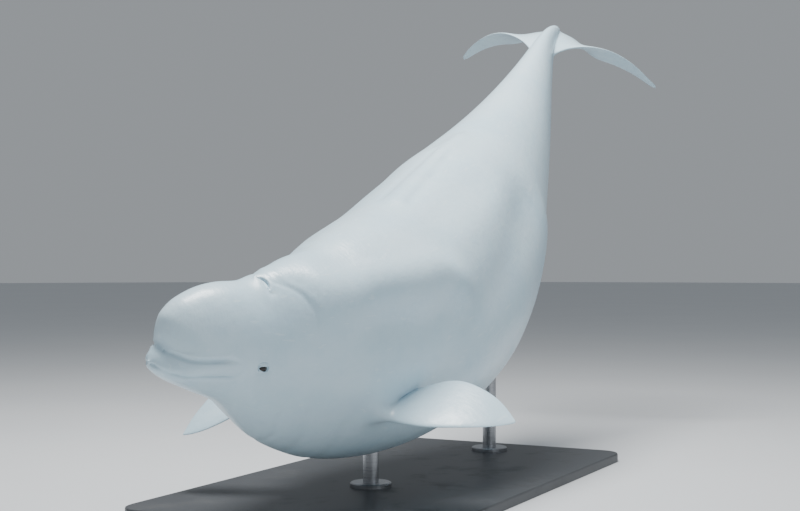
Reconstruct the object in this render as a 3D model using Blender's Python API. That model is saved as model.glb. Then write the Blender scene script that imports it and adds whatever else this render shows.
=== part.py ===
"""A life-size beluga whale as a still museum model, held by a plain display stand.

The whale is designed straight: x to its left, y back from the tip of its beak, z up from the line of
its spine. Named stations give its outline, a pose gives each length of the spine its heading, rise and
roll, and every point of the straight whale is then carried to its place along the posed spine. The
finished body is parted by thin cuts into the pieces that a person would name.

Blender's Z is up. The whale faces -Y. The origin is on the floor, under the middle of the whale's length
and width.
"""

import math
from dataclasses import dataclass

import bmesh
import bpy
import numpy as np
from mathutils import Matrix, Vector

# Gap that the faces of two neighbouring pieces keep.
GAP = 0.0003

# Sizes of the straight whale in metres. The beak's tip is at y = 0 and the flukes' notch close to LENGTH.
LENGTH = 4.11
HEAD_RING_STEP = 0.027
TRUNK_RING_STEP = 0.075
TAIL_RING_STEP = 0.042
RING_SIDES = 36
RIDGE_EDGE_ANGLE = 4.0

# Cuts that part the body, as distances back from the beak.
NECK_CUT = 0.57
SHOULDER_CUT = 0.71
CHEST_CUT = 1.42
TAIL_CUT = 2.62
STOCK_CUT = 3.42

# The line of the mouth in the head's side view, from in front of the beak to the corner of the mouth,
# and on through the throat, where the lower jaw ends.
MOUTH_LINE = ((-0.030, -0.098), (0.000, -0.113), (0.015, -0.123), (0.040, -0.130), (0.075, -0.130),
              (0.127, -0.122), (0.201, -0.111), (0.251, -0.103), (0.280, -0.096))
CREASE_LINE = ((-0.020, -0.058), (0.027, -0.062), (0.053, -0.066), (0.079, -0.069), (0.136, -0.062),
               (0.179, -0.054), (0.229, -0.047), (0.262, -0.050))
JAW_HINGE = ((0.315, -0.135), (0.345, -0.195), (0.372, -0.330))
MOUTH_CORNER_Y = 0.274
MOUTH_GROOVE_RADIUS = 0.0035
LIP_CREASE_END_Y = 0.250
LIP_CREASE_RADIUS = 0.006

# Eyes, ears and blowhole.
EYE_Y = 0.353
EYE_Z = -0.061
EYE_RADIUS = 0.020
EYE_SINK = 0.0125
LID_THICKNESS = 0.0042
LID_HALF_WIDTH = 0.0190
LID_HALF_HEIGHT = 0.0090
EAR_Y = 0.502
EAR_Z = -0.048
EAR_RADIUS = 0.0032
BLOWHOLE_Y = 0.378
BLOWHOLE_ANGLE = 16.0
BLOWHOLE_HALF_WIDTH = 0.034
BLOWHOLE_DEPTH = 0.017
BLOWHOLE_RADIUS = 0.0045

# Fins.
FLIPPER_LENGTH = 0.43
FLIPPER_ROOT = (0.300, 0.890, -0.226)
FLIPPER_THICKNESS = 0.046
FLUKE_SPAN = 0.56
FLUKE_DROOP = 0.235
FLUKE_Y = 3.885
FLUKE_THICKNESS = 0.052
FLUKE_CUT_X = 0.075
FLUKE_TWIST = ((0.0, 0.15, 0.40, 1.0), (0.0, -6.0, -27.0, -36.0))
FLUKE_ARCH = {1: 0.008, -1: 0.030}

# Stand.
FLOOR_CLEARANCE = 0.150
BASE_THICKNESS = 0.040
BASE_LENGTH = 2.30
BASE_WIDTH = 1.24
BASE_CORNER = 0.10
BASE_CENTRE = (-0.04, -0.40)
ROD_RADIUS = 0.032
ROD_FLANGE_RADIUS = 0.085
ROD_FLANGE_HEIGHT = 0.018
FRONT_ROD_Y = 1.15
REAR_ROD_Y = 2.30

SKIN_COLOUR = (0.80, 0.84, 0.87, 1.0)
EYE_COLOUR = (0.020, 0.014, 0.012, 1.0)
BASE_COLOUR = (0.055, 0.058, 0.062, 1.0)
ROD_COLOUR = (0.42, 0.43, 0.45, 1.0)


@dataclass(frozen=True)
class Station:
    """One ring of the straight whale: where it crosses the back, the widest side and the belly."""

    name: str
    top: tuple[float, float]
    side: tuple[float, float, float]
    bottom: tuple[float, float]


STATIONS = (
    Station("beak tip", (0.000, -0.106), (0.003, 0.012, -0.113), (0.002, -0.121)),
    Station("lips", (0.007, -0.088), (0.020, 0.053, -0.114), (0.012, -0.138)),
    Station("lip crease", (0.028, -0.054), (0.068, 0.094, -0.108), (0.045, -0.158)),
    Station("melon foot", (0.012, -0.008), (0.112, 0.126, -0.095), (0.092, -0.176)),
    Station("melon front", (0.007, 0.042), (0.160, 0.143, -0.074), (0.150, -0.192)),
    Station("melon brow", (0.031, 0.090), (0.212, 0.154, -0.059), (0.208, -0.208)),
    Station("melon crown", (0.083, 0.133), (0.258, 0.164, -0.049), (0.268, -0.222)),
    Station("melon top", (0.145, 0.166), (0.303, 0.171, -0.044), (0.328, -0.244)),
    Station("eyes", (0.220, 0.189), (0.347, 0.174, -0.041), (0.377, -0.273)),
    Station("blowhole", (0.308, 0.203), (0.392, 0.175, -0.038), (0.427, -0.306)),
    Station("nape", (0.420, 0.261), (0.486, 0.180, -0.033), (0.527, -0.372)),
    Station("neck", (0.570, 0.316), (0.621, 0.208, -0.026), (0.652, -0.428)),
    Station("throat", (0.704, 0.346), (0.724, 0.246, -0.021), (0.745, -0.462)),
    Station("shoulder", (0.859, 0.396), (0.869, 0.302, -0.016), (0.880, -0.493)),
    Station("fore chest", (1.066, 0.431), (1.071, 0.372, -0.013), (1.076, -0.525)),
    Station("chest", (1.325, 0.452), (1.325, 0.418, -0.013), (1.325, -0.551)),
    Station("belly", (1.636, 0.472), (1.636, 0.416, -0.014), (1.636, -0.572)),
    Station("girth", (1.947, 0.464), (1.947, 0.386, -0.015), (1.947, -0.556)),
    Station("loin", (2.257, 0.412), (2.257, 0.334, -0.011), (2.257, -0.468)),
    Station("vent", (2.568, 0.345), (2.568, 0.270, -0.006), (2.568, -0.360)),
    Station("fore tail", (2.879, 0.272), (2.879, 0.209, 0.000), (2.879, -0.266)),
    Station("mid tail", (3.190, 0.205), (3.190, 0.148, 0.000), (3.190, -0.192)),
    Station("rear tail", (3.449, 0.155), (3.449, 0.100, 0.000), (3.449, -0.142)),
    Station("tail stock", (3.656, 0.118), (3.656, 0.067, 0.000), (3.656, -0.104)),
    Station("fluke root", (3.811, 0.090), (3.811, 0.048, 0.000), (3.811, -0.076)),
    Station("fluke keel", (3.936, 0.062), (3.936, 0.036, 0.000), (3.936, -0.050)),
    Station("keel end", (4.040, 0.034), (4.040, 0.022, 0.000), (4.040, -0.028)),
    Station("notch", (4.095, 0.010), (4.095, 0.008, 0.000), (4.095, -0.010)),
)


@dataclass(frozen=True)
class Bend:
    """The spine's heading, rise and roll in degrees at a distance back from the beak."""

    y: float
    heading: float
    rise: float
    roll: float


# Heading is how far the tailward direction turns from +Y towards +X, and rise how far it climbs.
BENDS = (
    Bend(0.397, 15.8, -7.0, -14.0),
    Bend(1.014, 5.0, 8.6, -9.0),
    Bend(1.947, -1.7, 30.1, -4.0),
    Bend(2.879, -4.6, 38.3, -4.0),
    Bend(3.552, -6.1, 40.8, -7.0),
    Bend(3.863, -6.5, 30.0, -10.0),
    Bend(4.122, -6.0, 12.0, -11.0),
)


@dataclass(frozen=True)
class Fold:
    """A soft ridge or valley of the skin along a path of distances back and angles down from the back."""

    path: tuple[tuple[float, float], ...]
    height: float
    width: float
    right_share: float = 0.55


FOLDS = (
    Fold(((0.58, 49), (0.71, 50), (0.91, 51), (1.03, 51), (1.12, 52), (1.18, 57), (1.19, 64)), 0.034, 0.075),
    Fold(((0.80, 70), (0.96, 77), (1.06, 77), (1.13, 72)), -0.024, 0.070),
    Fold(((0.62, 88), (0.71, 100), (0.83, 111)), 0.012, 0.080),
    Fold(((1.18, 110), (1.35, 106), (1.54, 102), (1.76, 98), (2.00, 94), (2.22, 88)), 0.022, 0.090),
    Fold(((1.30, 122), (1.60, 124), (1.90, 122), (2.20, 114)), 0.014, 0.100),
    Fold(((1.24, 80), (1.52, 75), (1.74, 68), (2.08, 63)), -0.020, 0.080),
    Fold(((1.31, 29), (1.58, 29), (1.85, 32)), -0.010, 0.060),
    Fold(((1.34, 42), (1.61, 43), (1.95, 45)), 0.008, 0.060),
    Fold(((0.385, 8), (0.40, 20), (0.45, 32), (0.49, 42), (0.51, 51), (0.53, 58), (0.54, 69)), -0.005, 0.018, 1.0),
    Fold(((1.35, 0), (1.60, 0), (1.95, 0), (2.25, 0)), 0.020, 0.030, 1.0),
)


def monotone(xs, ys, at):
    """Piecewise cubic through the points that never overshoots them, at the places asked for."""
    xs, ys, at = np.asarray(xs, float), np.asarray(ys, float), np.asarray(at, float)
    steps, slopes = np.diff(xs), np.diff(ys) / np.diff(xs)
    tangent = np.zeros_like(ys)
    tangent[0], tangent[-1] = slopes[0], slopes[-1]
    for i in range(1, len(xs) - 1):
        if slopes[i - 1] * slopes[i] > 0:
            before, after = 2 * steps[i] + steps[i - 1], steps[i] + 2 * steps[i - 1]
            tangent[i] = (before + after) / (before / slopes[i - 1] + after / slopes[i])
    k = np.clip(np.searchsorted(xs, at) - 1, 0, len(steps) - 1)
    t = np.clip((at - xs[k]) / steps[k], 0.0, 1.0)
    t2, t3 = t * t, t * t * t
    return ((2 * t3 - 3 * t2 + 1) * ys[k] + (t3 - 2 * t2 + t) * steps[k] * tangent[k]
            + (3 * t2 - 2 * t3) * ys[k + 1] + (t3 - t2) * steps[k] * tangent[k + 1])


RAILS = np.array([station.top + station.side + station.bottom for station in STATIONS])


def rails_at(u):
    """Top (y, z), side (y, x, z) and bottom (y, z) of the ring at station number u, which may lie between two."""
    numbers = np.arange(len(STATIONS))
    return np.stack([monotone(numbers, RAILS[:, i], u) for i in range(RAILS.shape[1])], axis=-1)


def fold_height(y, angle, side_radius, right):
    """How far the folds raise the skin at distances back and angles in degrees from the back."""
    raised = np.zeros_like(y)
    for fold in FOLDS:
        nearest = np.full_like(y, 1e9)
        path = np.array(fold.path, float)
        for (y0, a0), (y1, a1) in zip(path[:-1], path[1:]):
            across = np.radians(angle - a0) * side_radius
            run, turn = y1 - y0, np.radians(a1 - a0) * side_radius
            t = np.clip(((y - y0) * run + across * turn) / (run * run + turn * turn), 0.0, 1.0)
            nearest = np.minimum(nearest, np.hypot(y - y0 - t * run, across - t * turn))
        share = np.where(right, fold.right_share, 1.0)
        raised += share * fold.height * np.exp(-((nearest / fold.width) ** 2))
    return raised


def skin(u, angle):
    """Points of the straight whale's skin at station numbers u and angles in degrees, 0 at the back, 90 at its left."""
    u, angle = np.broadcast_arrays(np.asarray(u, float), np.asarray(angle, float))
    rail = rails_at(u)
    cosine, sine = np.cos(np.radians(angle)), np.sin(np.radians(angle))
    end_y = np.where(cosine >= 0, rail[..., 0], rail[..., 5])
    end_z = np.where(cosine >= 0, rail[..., 1], rail[..., 6])
    down = np.degrees(np.arccos(np.clip(cosine, -1, 1)))
    x = rail[..., 3] * sine
    y = rail[..., 2] + (end_y - rail[..., 2]) * cosine**2
    z = rail[..., 4] + (end_z - rail[..., 4]) * np.abs(cosine)
    raised = fold_height(y, down, rail[..., 3], sine < 0)
    return np.stack([x + raised * sine, y, z + raised * cosine], axis=-1)


class Spine:
    """The posed spine: for each distance back, a point and the whale's own left, tailward and upward directions."""

    STEP = 0.01
    FIRST = -0.10
    LAST = 4.50

    def __init__(self):
        self.y = np.arange(self.FIRST, self.LAST, self.STEP)
        stops = [bend.y for bend in BENDS]
        held = np.clip(self.y, stops[0], stops[-1])
        heading, rise, roll = (np.radians(monotone(stops, [getattr(bend, key) for bend in BENDS], held))
                               for key in ("heading", "rise", "roll"))
        self.back = np.stack([np.sin(heading) * np.cos(rise), np.cos(heading) * np.cos(rise), np.sin(rise)], -1)
        level = np.stack([np.cos(heading), -np.sin(heading), np.zeros_like(heading)], -1)
        above = np.cross(level, self.back)
        cosine, sine = np.cos(roll)[:, None], np.sin(roll)[:, None]
        self.left = level * cosine + above * sine
        self.up = above * cosine - level * sine
        middles = (self.back[1:] + self.back[:-1]) / 2
        self.point = np.vstack([np.zeros(3), np.cumsum(middles * self.STEP, axis=0)])

    def frame(self, y):
        """Point, left, back and up on the spine at the distances back y."""
        return [np.stack([np.interp(y, self.y, table[:, i]) for i in range(3)], -1)
                for table in (self.point, self.left, self.back, self.up)]

    def place(self, points):
        """Carries points of the straight whale to the posed one."""
        points = np.asarray(points, float)
        point, left, _, up = self.frame(points[..., 1])
        return point + left * points[..., 0:1] + up * points[..., 2:3]

    def matrix(self, x, y, z):
        """Matrix whose axes are the whale's left, back and up at a straight point, with its origin there."""
        _, left, back, up = self.frame(np.array(y, float))
        columns = [left, back, up, self.place(np.array([x, y, z]))]
        rows = np.array(columns).T
        return Matrix([list(row) for row in rows] + [[0, 0, 0, 1]])


SPINE = Spine()


def settle_spine():
    """Moves the spine so that the whale's box is centred over the origin and the chest clears the base."""
    body = skin(*np.meshgrid(np.linspace(0, len(STATIONS) - 1, 160), np.arange(0, 360, 6)))
    fins = [flipper_rings(LEFT_FLIPPER), flipper_rings(RIGHT_FLIPPER), fluke_rings(1), fluke_rings(-1)]
    points = SPINE.place(np.vstack([part.reshape(-1, 3) for part in [body] + fins]))
    low, high = points.min(axis=0), points.max(axis=0)
    middle = (low + high) / 2
    SPINE.point += np.array([-middle[0], -middle[1], BASE_THICKNESS + FLOOR_CLEARANCE - low[2]])


def material(name, colour, roughness, metallic=0.0):
    """A Principled material of one colour."""
    made = bpy.data.materials.new(name)
    made.use_nodes = True
    shader = made.node_tree.nodes["Principled BSDF"]
    shader.inputs["Base Color"].default_value = colour
    shader.inputs["Roughness"].default_value = roughness
    shader.inputs["Metallic"].default_value = metallic
    made.diffuse_color = colour
    return made


def collection(name, hidden=False):
    made = bpy.data.collections.new(name)
    bpy.context.scene.collection.children.link(made)
    made.hide_render = hidden
    return made


def add_object(name, mesh, group, finish=None):
    """Links a new object that shows the mesh."""
    made = bpy.data.objects.new(name, mesh)
    group.objects.link(made)
    if finish is not None:
        mesh.materials.append(finish)
    if group.hide_render:
        made.hide_render = True
        made.display_type = "WIRE"
    return made


def mesh_from(name, build):
    """A mesh from a function that fills a bmesh, with its faces turned outwards."""
    shape = bmesh.new()
    build(shape)
    bmesh.ops.recalc_face_normals(shape, faces=shape.faces)
    mesh = bpy.data.meshes.new(name)
    shape.to_mesh(mesh)
    shape.free()
    return mesh


def loft(name, rings):
    """A closed mesh over rings of points with equal counts, capped at both ends."""
    rings = np.asarray(rings)

    def build(shape):
        rows = [[shape.verts.new(Vector(point)) for point in ring] for ring in rings]
        sides = len(rows[0])
        for near, far in zip(rows[:-1], rows[1:]):
            for i in range(sides):
                shape.faces.new((near[i], near[(i + 1) % sides], far[(i + 1) % sides], far[i]))
        for end in (rows[0], rows[-1]):
            shape.faces.new(end)
        bmesh.ops.triangulate(shape, faces=shape.faces)

    return mesh_from(name, build)


def ring_numbers():
    """Station numbers of the body's rings, close on the head and the tail's end and wider on the trunk."""
    fine = np.linspace(0, len(STATIONS) - 1, 3000)
    rail = rails_at(fine)
    moved = np.maximum.reduce([
        np.hypot(np.diff(rail[:, 0]), np.diff(rail[:, 1])),
        np.sqrt(np.diff(rail[:, 2]) ** 2 + np.diff(rail[:, 3]) ** 2 + np.diff(rail[:, 4]) ** 2),
        np.hypot(np.diff(rail[:, 5]), np.diff(rail[:, 6])),
    ])
    step = monotone([0, 0.45, 0.8, 2.6, 3.6, LENGTH + 0.1],
                    [HEAD_RING_STEP, HEAD_RING_STEP, TRUNK_RING_STEP, TRUNK_RING_STEP, TAIL_RING_STEP,
                     TAIL_RING_STEP], rail[1:, 2])
    travelled = np.concatenate([[0], np.cumsum(moved / step)])
    count = int(round(travelled[-1])) + 1
    return np.interp(np.linspace(0, travelled[-1], count), travelled, fine)


def ring_angles():
    """Angles round a ring, with two more beside the back for the edges of its ridge."""
    even = np.arange(RING_SIDES) * 360.0 / RING_SIDES
    return np.sort(np.concatenate([even, [RIDGE_EDGE_ANGLE, 360.0 - RIDGE_EDGE_ANGLE]]))


def body_mesh():
    numbers, angles = np.meshgrid(ring_numbers(), ring_angles(), indexing="ij")
    return loft("body", SPINE.place(skin(numbers, angles)))


def section(chord, thickness, sides=12):
    """A fin's section: a rounded front edge at 0, a thin rear edge at 1 and its thickest part near the front."""
    turn = np.arange(sides) * 2 * math.pi / sides
    along = (1 - np.cos(turn)) / 2
    height = np.sin(turn) * (1.25 - 0.62 * along) * thickness / 2
    return along * chord, height


# Planforms, from root to tip: share of the length, front edge and rear edge in metres back of the fin's own line.
FLIPPER_PLAN = ((0.00, -0.070, 0.080), (0.20, -0.100, 0.108), (0.45, -0.118, 0.128), (0.70, -0.106, 0.088),
                (0.88, -0.078, 0.034), (0.97, -0.052, -0.014), (1.00, -0.040, -0.030))
FLUKE_PLAN = ((0.00, -0.235, 0.165), (0.08, -0.190, 0.200), (0.18, -0.110, 0.222), (0.38, -0.010, 0.246),
              (0.65, 0.105, 0.270), (0.85, 0.200, 0.302), (0.96, 0.268, 0.330), (1.00, 0.302, 0.332))


@dataclass(frozen=True)
class FlipperPose:
    """A flipper's sweep back, droop, twist of its blade and curl of its tip in degrees, and where it is cut."""

    side: int
    sweep: float
    droop: float
    twist: float
    curl: float
    cut_share: float


FLIPPER_CUT_HALF_SIZE = (0.130, 0.050)
LEFT_FLIPPER = FlipperPose(1, 11.0, -17.0, 28.0, -30.0, 0.20)
RIGHT_FLIPPER = FlipperPose(-1, -39.0, 39.0, 25.0, -4.0, 0.11)


def plan_at(plan, share):
    table = np.array(plan)
    return monotone(table[:, 0], table[:, 1], share), monotone(table[:, 0], table[:, 2], share)


def flipper_axes(pose):
    """A flipper's directions on the whale's left: out to its tip, back across its blade and up from it."""
    sweep, droop, twist = (math.radians(value) for value in (pose.sweep, pose.droop, pose.twist))
    out = np.array([math.cos(sweep) * math.cos(droop), math.sin(sweep) * math.cos(droop), -math.sin(droop)])
    back = np.array([-math.sin(sweep), math.cos(sweep), 0.0])
    up = np.cross(out, back)
    return (out, back * math.cos(twist) + up * math.sin(twist),
            up * math.cos(twist) - back * math.sin(twist))


def flipper_rings(pose):
    """Rings of one flipper of the straight whale, from inside the chest out to its tip."""
    out, back, up = flipper_axes(pose)
    curl = math.radians(pose.curl)
    rings = []
    for share in (-0.22, -0.10, 0.0, 0.10, 0.22, 0.36, 0.50, 0.64, 0.76, 0.86, 0.93, 0.975, 1.0):
        front, rear = plan_at(FLIPPER_PLAN, np.array(max(share, 0.0)))
        thick = FLIPPER_THICKNESS * monotone([0, 0.3, 0.8, 1.0], [1.0, 0.72, 0.36, 0.14], np.array(max(share, 0)))
        along, height = section(rear - front, thick)
        lift = 0.5 * curl * FLIPPER_LENGTH * max(share, 0.0) ** 3
        line = np.array(FLIPPER_ROOT) + out * share * FLIPPER_LENGTH + up * lift
        ring = line + back * (front + along)[:, None] + up * height[:, None]
        rings.append(ring * np.array([pose.side, 1, 1]))
    return np.array(rings)


def fluke_rings(side):
    """Rings of one fluke in the straight whale, from inside the keel out to its tip."""
    rings = []
    for share in (-0.06, 0.0, 0.07, 0.15, 0.25, 0.37, 0.50, 0.63, 0.75, 0.85, 0.92, 0.97, 1.0):
        held = max(share, 0.0)
        front, rear = plan_at(FLUKE_PLAN, np.array(held))
        thick = FLUKE_THICKNESS * monotone([0, 0.15, 0.6, 1.0], [1.0, 0.62, 0.34, 0.10], np.array(held))
        along, height = section(rear - front, thick)
        droop = FLUKE_DROOP * held**2.5
        twist = math.radians(monotone(*FLUKE_TWIST, np.array(held)))
        x = np.full_like(along, side * (0.012 + held * FLUKE_SPAN) if share >= 0 else side * 0.002)
        y = FLUKE_Y + front + along * math.cos(twist)
        z = height - droop + FLUKE_ARCH[side] * math.sin(math.pi * held) + along * math.sin(twist)
        rings.append(np.stack([x, y, z], -1))
    return np.array(rings)


def tube_mesh(name, points, radius, sides=5):
    """A closed tube round a path of points, for grooves and lids."""
    points = np.asarray(points, float)
    radius = np.broadcast_to(np.asarray(radius, float), len(points))
    tangent = np.gradient(points, axis=0)
    tangent /= np.linalg.norm(tangent, axis=1)[:, None]
    guide = np.cross(tangent[0], [0.31, 0.52, 0.79])
    rings = []
    for point, along, size in zip(points, tangent, radius):
        guide = guide - along * guide.dot(along)
        guide /= np.linalg.norm(guide)
        across = np.cross(along, guide)
        turn = np.arange(sides)[:, None] * 2 * math.pi / sides
        rings.append(point + size * (np.cos(turn) * guide + np.sin(turn) * across))
    return loft(name, rings)


def boolean(target, tool, operation):
    """Applies one Boolean to the target object and removes the tool object."""
    cut = target.modifiers.new(operation.lower(), "BOOLEAN")
    cut.operation = operation
    cut.object = tool
    cut.solver = "EXACT"
    applied = bpy.data.meshes.new_from_object(target.evaluated_get(bpy.context.evaluated_depsgraph_get()))
    target.modifiers.clear()
    target.data = applied
    bpy.data.objects.remove(tool)


def crossing(line_z, number, low_angle=60.0, high_angle=150.0):
    """The skin's point on the left of a ring where its height meets line_z(y)."""
    for _ in range(40):
        middle = (low_angle + high_angle) / 2
        point = skin(number, middle)
        if point[2] > line_z(point[1]):
            low_angle = middle
        else:
            high_angle = middle
    return skin(number, (low_angle + high_angle) / 2)


def line_round_beak(line_z, end_y, lift_out):
    """Points on the skin along a line of the side view, from the right end round the beak to the left end."""
    left = []
    for number in np.linspace(0.10, 9.0, 120):
        if skin(number, 0.0)[2] < line_z(skin(number, 0.0)[1]):
            continue
        point = crossing(line_z, number, 1.0)
        if point[1] > end_y:
            break
        if not left or np.linalg.norm(point - left[-1]) > 0.022:
            left.append(point + np.array([lift_out, 0, 0]))
    left = np.array(left)
    right = (left * np.array([-1, 1, 1]))[::-1]
    return np.vstack([right, left])


def mouth_z(y):
    line = np.array(MOUTH_LINE)
    return monotone(line[:, 0], line[:, 1], np.array(y))


def crease_z(y):
    """The crease between melon and upper lip."""
    line = np.array(CREASE_LINE)
    return monotone(line[:, 0], line[:, 1], np.array(y))


def jaw_sheet_mesh():
    """The thin bent sheet that parts the lower jaw from the head."""
    front = [(y, float(mouth_z(y))) for y in np.linspace(MOUTH_LINE[0][0], MOUTH_LINE[-1][0], 16)]
    path = np.array(front + list(JAW_HINGE))
    along = np.gradient(path, axis=0)
    along /= np.linalg.norm(along, axis=1)[:, None]
    across = np.stack([-along[:, 1], along[:, 0]], -1) * GAP / 2
    outline = np.vstack([path + across, (path - across)[::-1]])
    ends = [[(x, y, z) for y, z in outline] for x in (-0.30, 0.30)]
    return loft("jaw sheet", SPINE.place(np.array(ends)))


def plate_mesh(name, matrix, half_width, half_height):
    """A thin square plate across the matrix's Y axis."""

    def build(shape):
        size = Matrix.Diagonal((2 * half_width, GAP, 2 * half_height, 1.0))
        bmesh.ops.create_cube(shape, size=1.0, matrix=matrix @ size)

    return mesh_from(name, build)


def eye_surface(side):
    """Point, outward direction, forward direction and upward direction of the head's surface at an eye."""
    points = {}
    for key, (y, z) in {"mid": (EYE_Y, EYE_Z), "back": (EYE_Y + 0.02, EYE_Z), "up": (EYE_Y, EYE_Z + 0.02)}.items():
        points[key] = surface_point(y, z)
    back = points["back"] - points["mid"]
    up = points["up"] - points["mid"]
    out = np.cross(back, up)
    out /= np.linalg.norm(out)
    if out[0] < 0:
        out = -out
    forward = -back / np.linalg.norm(back)
    up = np.cross(out, forward) * np.sign(np.cross(out, forward)[2])
    turn = np.array([side, 1, 1])
    return points["mid"] * turn, out * turn, forward * turn, up * turn


def surface_point(y, z):
    """The point of the straight whale's left side at a distance back and a height."""
    low, high = 0.5, len(STATIONS) - 1.5
    point = None
    for _ in range(50):
        number = (low + high) / 2
        point = crossing(lambda _, height=z: height, number, 5.0, 175.0)
        if point[1] < y:
            low = number
        else:
            high = number
    return point


def carried(point, direction=None):
    """A straight point, or a direction at it, on the posed whale."""
    if direction is None:
        return SPINE.place(np.asarray(point))
    _, left, back, up = SPINE.frame(np.asarray(point)[1])
    return left * direction[0] + back * direction[1] + up * direction[2]


def lid_path(side, upper):
    """The line of one eyelid over the eyeball, from the front corner to the rear one."""
    point, out, forward, up = eye_surface(side)
    centre = point - out * EYE_SINK
    arc = []
    for turn in np.linspace(0, math.pi, 11):
        along = math.cos(turn) * LID_HALF_WIDTH
        rise = math.sin(turn) * LID_HALF_HEIGHT * (1.0 if upper else -0.85)
        depth = math.sqrt(max((EYE_RADIUS + 0.001) ** 2 - along**2 - rise**2, 0.0))
        arc.append(carried(point, forward) * along + carried(point, up) * rise
                   + carried(point, out) * depth + carried(centre))
    return arc


def eye_mesh(side, radius, name):
    point, out, _, _ = eye_surface(side)
    centre = Vector(carried(point - out * EYE_SINK))

    def build(shape):
        bmesh.ops.create_uvsphere(shape, u_segments=16, v_segments=10, radius=radius,
                                  matrix=Matrix.Translation(centre))

    return mesh_from(name, build)


def blowhole_path():
    """The crescent of the blowhole, hollow towards the beak and a little left of the middle."""
    path = []
    for t in np.linspace(-1, 1, 9):
        across = math.degrees(t * BLOWHOLE_HALF_WIDTH / 0.20)
        y = BLOWHOLE_Y - BLOWHOLE_DEPTH * t * t
        number = np.interp(y, RAILS[:, 0][3:], np.arange(len(STATIONS))[3:])
        path.append(skin(number, BLOWHOLE_ANGLE + across))
    return SPINE.place(np.array(path))


def cut_groove(body, name, path, radius, cutters, sides=5):
    boolean(body, add_object(name, tube_mesh(name, path, radius, sides), cutters), "DIFFERENCE")


def shape_head(body, cutters):
    """Cuts the mouth, the lip's crease, the blowhole and the ears, adds the lids and makes room for the eyes."""
    mouth = SPINE.place(line_round_beak(mouth_z, MOUTH_CORNER_Y, 0.0))
    cut_groove(body, "mouth groove", mouth, MOUTH_GROOVE_RADIUS, cutters)
    crease = SPINE.place(line_round_beak(crease_z, LIP_CREASE_END_Y, 0.002))
    cut_groove(body, "lip crease cut", crease, LIP_CREASE_RADIUS, cutters)
    path = blowhole_path()
    taper = BLOWHOLE_RADIUS * (1 - 0.7 * np.linspace(-1, 1, len(path)) ** 2)
    cut_groove(body, "blowhole cut", path, taper, cutters)
    for side, word in ((1, "left"), (-1, "right")):
        for upper in (True, False):
            name = f"{'upper' if upper else 'lower'} lid {word}"
            thick = LID_THICKNESS * (1.0 - 0.45 * np.abs(np.linspace(-1, 1, 11)) ** 3)
            boolean(body, add_object(name, tube_mesh(name, lid_path(side, upper), thick), cutters), "UNION")
        socket = eye_mesh(side, EYE_RADIUS + GAP, f"socket {word}")
        boolean(body, add_object(f"socket {word}", socket, cutters), "DIFFERENCE")
        ear = surface_point(EAR_Y, EAR_Z) * np.array([side, 1, 1])
        inward = np.array([-side * 0.006, 0, 0])
        ends = [carried(ear - inward), carried(ear), carried(ear + inward)]
        cut_groove(body, f"ear {word}", ends, np.array([1.4, 1.0, 0.4]) * EAR_RADIUS, cutters)


def part_body(body, cutters):
    """Cuts the whole body with thin plates and the jaw's sheet into loose closed pieces."""
    for name, y, half_width, half_height in (
            ("neck plate", NECK_CUT, 0.40, 0.62), ("shoulder plate", SHOULDER_CUT, 0.33, 0.62),
            ("chest plate", CHEST_CUT, 0.72, 0.72), ("tail plate", TAIL_CUT, 0.62, 0.62),
            ("stock plate", STOCK_CUT, 0.30, 0.30)):
        middle = -0.05 if y < TAIL_CUT else 0.0
        plate = plate_mesh(name, SPINE.matrix(0, y, middle), half_width, half_height)
        boolean(body, add_object(name, plate, cutters), "DIFFERENCE")
    boolean(body, add_object("jaw sheet", jaw_sheet_mesh(), cutters), "DIFFERENCE")
    for pose, word in ((LEFT_FLIPPER, "left"), (RIGHT_FLIPPER, "right")):
        boolean(body, add_object(f"flipper plate {word}", flipper_plate(pose), cutters), "DIFFERENCE")
    for side, word in ((1, "left"), (-1, "right")):
        across = SPINE.matrix(side * FLUKE_CUT_X, FLUKE_Y, -0.02) @ Matrix.Rotation(math.radians(90), 4, "Z")
        plate = plate_mesh(f"fluke plate {word}", across, 0.25, 0.16)
        boolean(body, add_object(f"fluke plate {word}", plate, cutters), "DIFFERENCE")


def flipper_plate(pose):
    """The plate that parts a flipper just outside the chest's skin, square to its blade."""
    turn = np.array([pose.side, 1, 1])
    out, back, _ = (axis * turn for axis in flipper_axes(pose))
    root = np.array(FLIPPER_ROOT) * turn
    along = Vector(carried(root, out)).normalized()
    across = Vector(carried(root, back))
    across = (across - along * across.dot(along)).normalized()
    axes = Matrix((across, along, across.cross(along))).transposed().to_4x4()
    point = Vector(carried(root + out * pose.cut_share * FLIPPER_LENGTH))
    return plate_mesh("flipper plate", Matrix.Translation(point) @ axes, *FLIPPER_CUT_HALF_SIZE)


def loose_pieces(body):
    """The closed shells of the parted body as separate bmeshes, largest first."""
    whole = bmesh.new()
    whole.from_mesh(body.data)
    bmesh.ops.triangulate(whole, faces=whole.faces)
    whole.verts.ensure_lookup_table()
    seen, groups = set(), []
    for start in whole.verts:
        if start.index in seen:
            continue
        stack, group = [start], set()
        while stack:
            vert = stack.pop()
            if vert.index in group:
                continue
            group.add(vert.index)
            stack.extend(edge.other_vert(vert) for edge in vert.link_edges)
        seen |= group
        groups.append(group)
    pieces = []
    for group in groups:
        copy = whole.copy()
        copy.verts.ensure_lookup_table()
        bmesh.ops.delete(copy, geom=[vert for vert in copy.verts if vert.index not in group], context="VERTS")
        pieces.append(copy)
    whole.free()
    return sorted(pieces, key=lambda piece: -piece.calc_volume())


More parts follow.
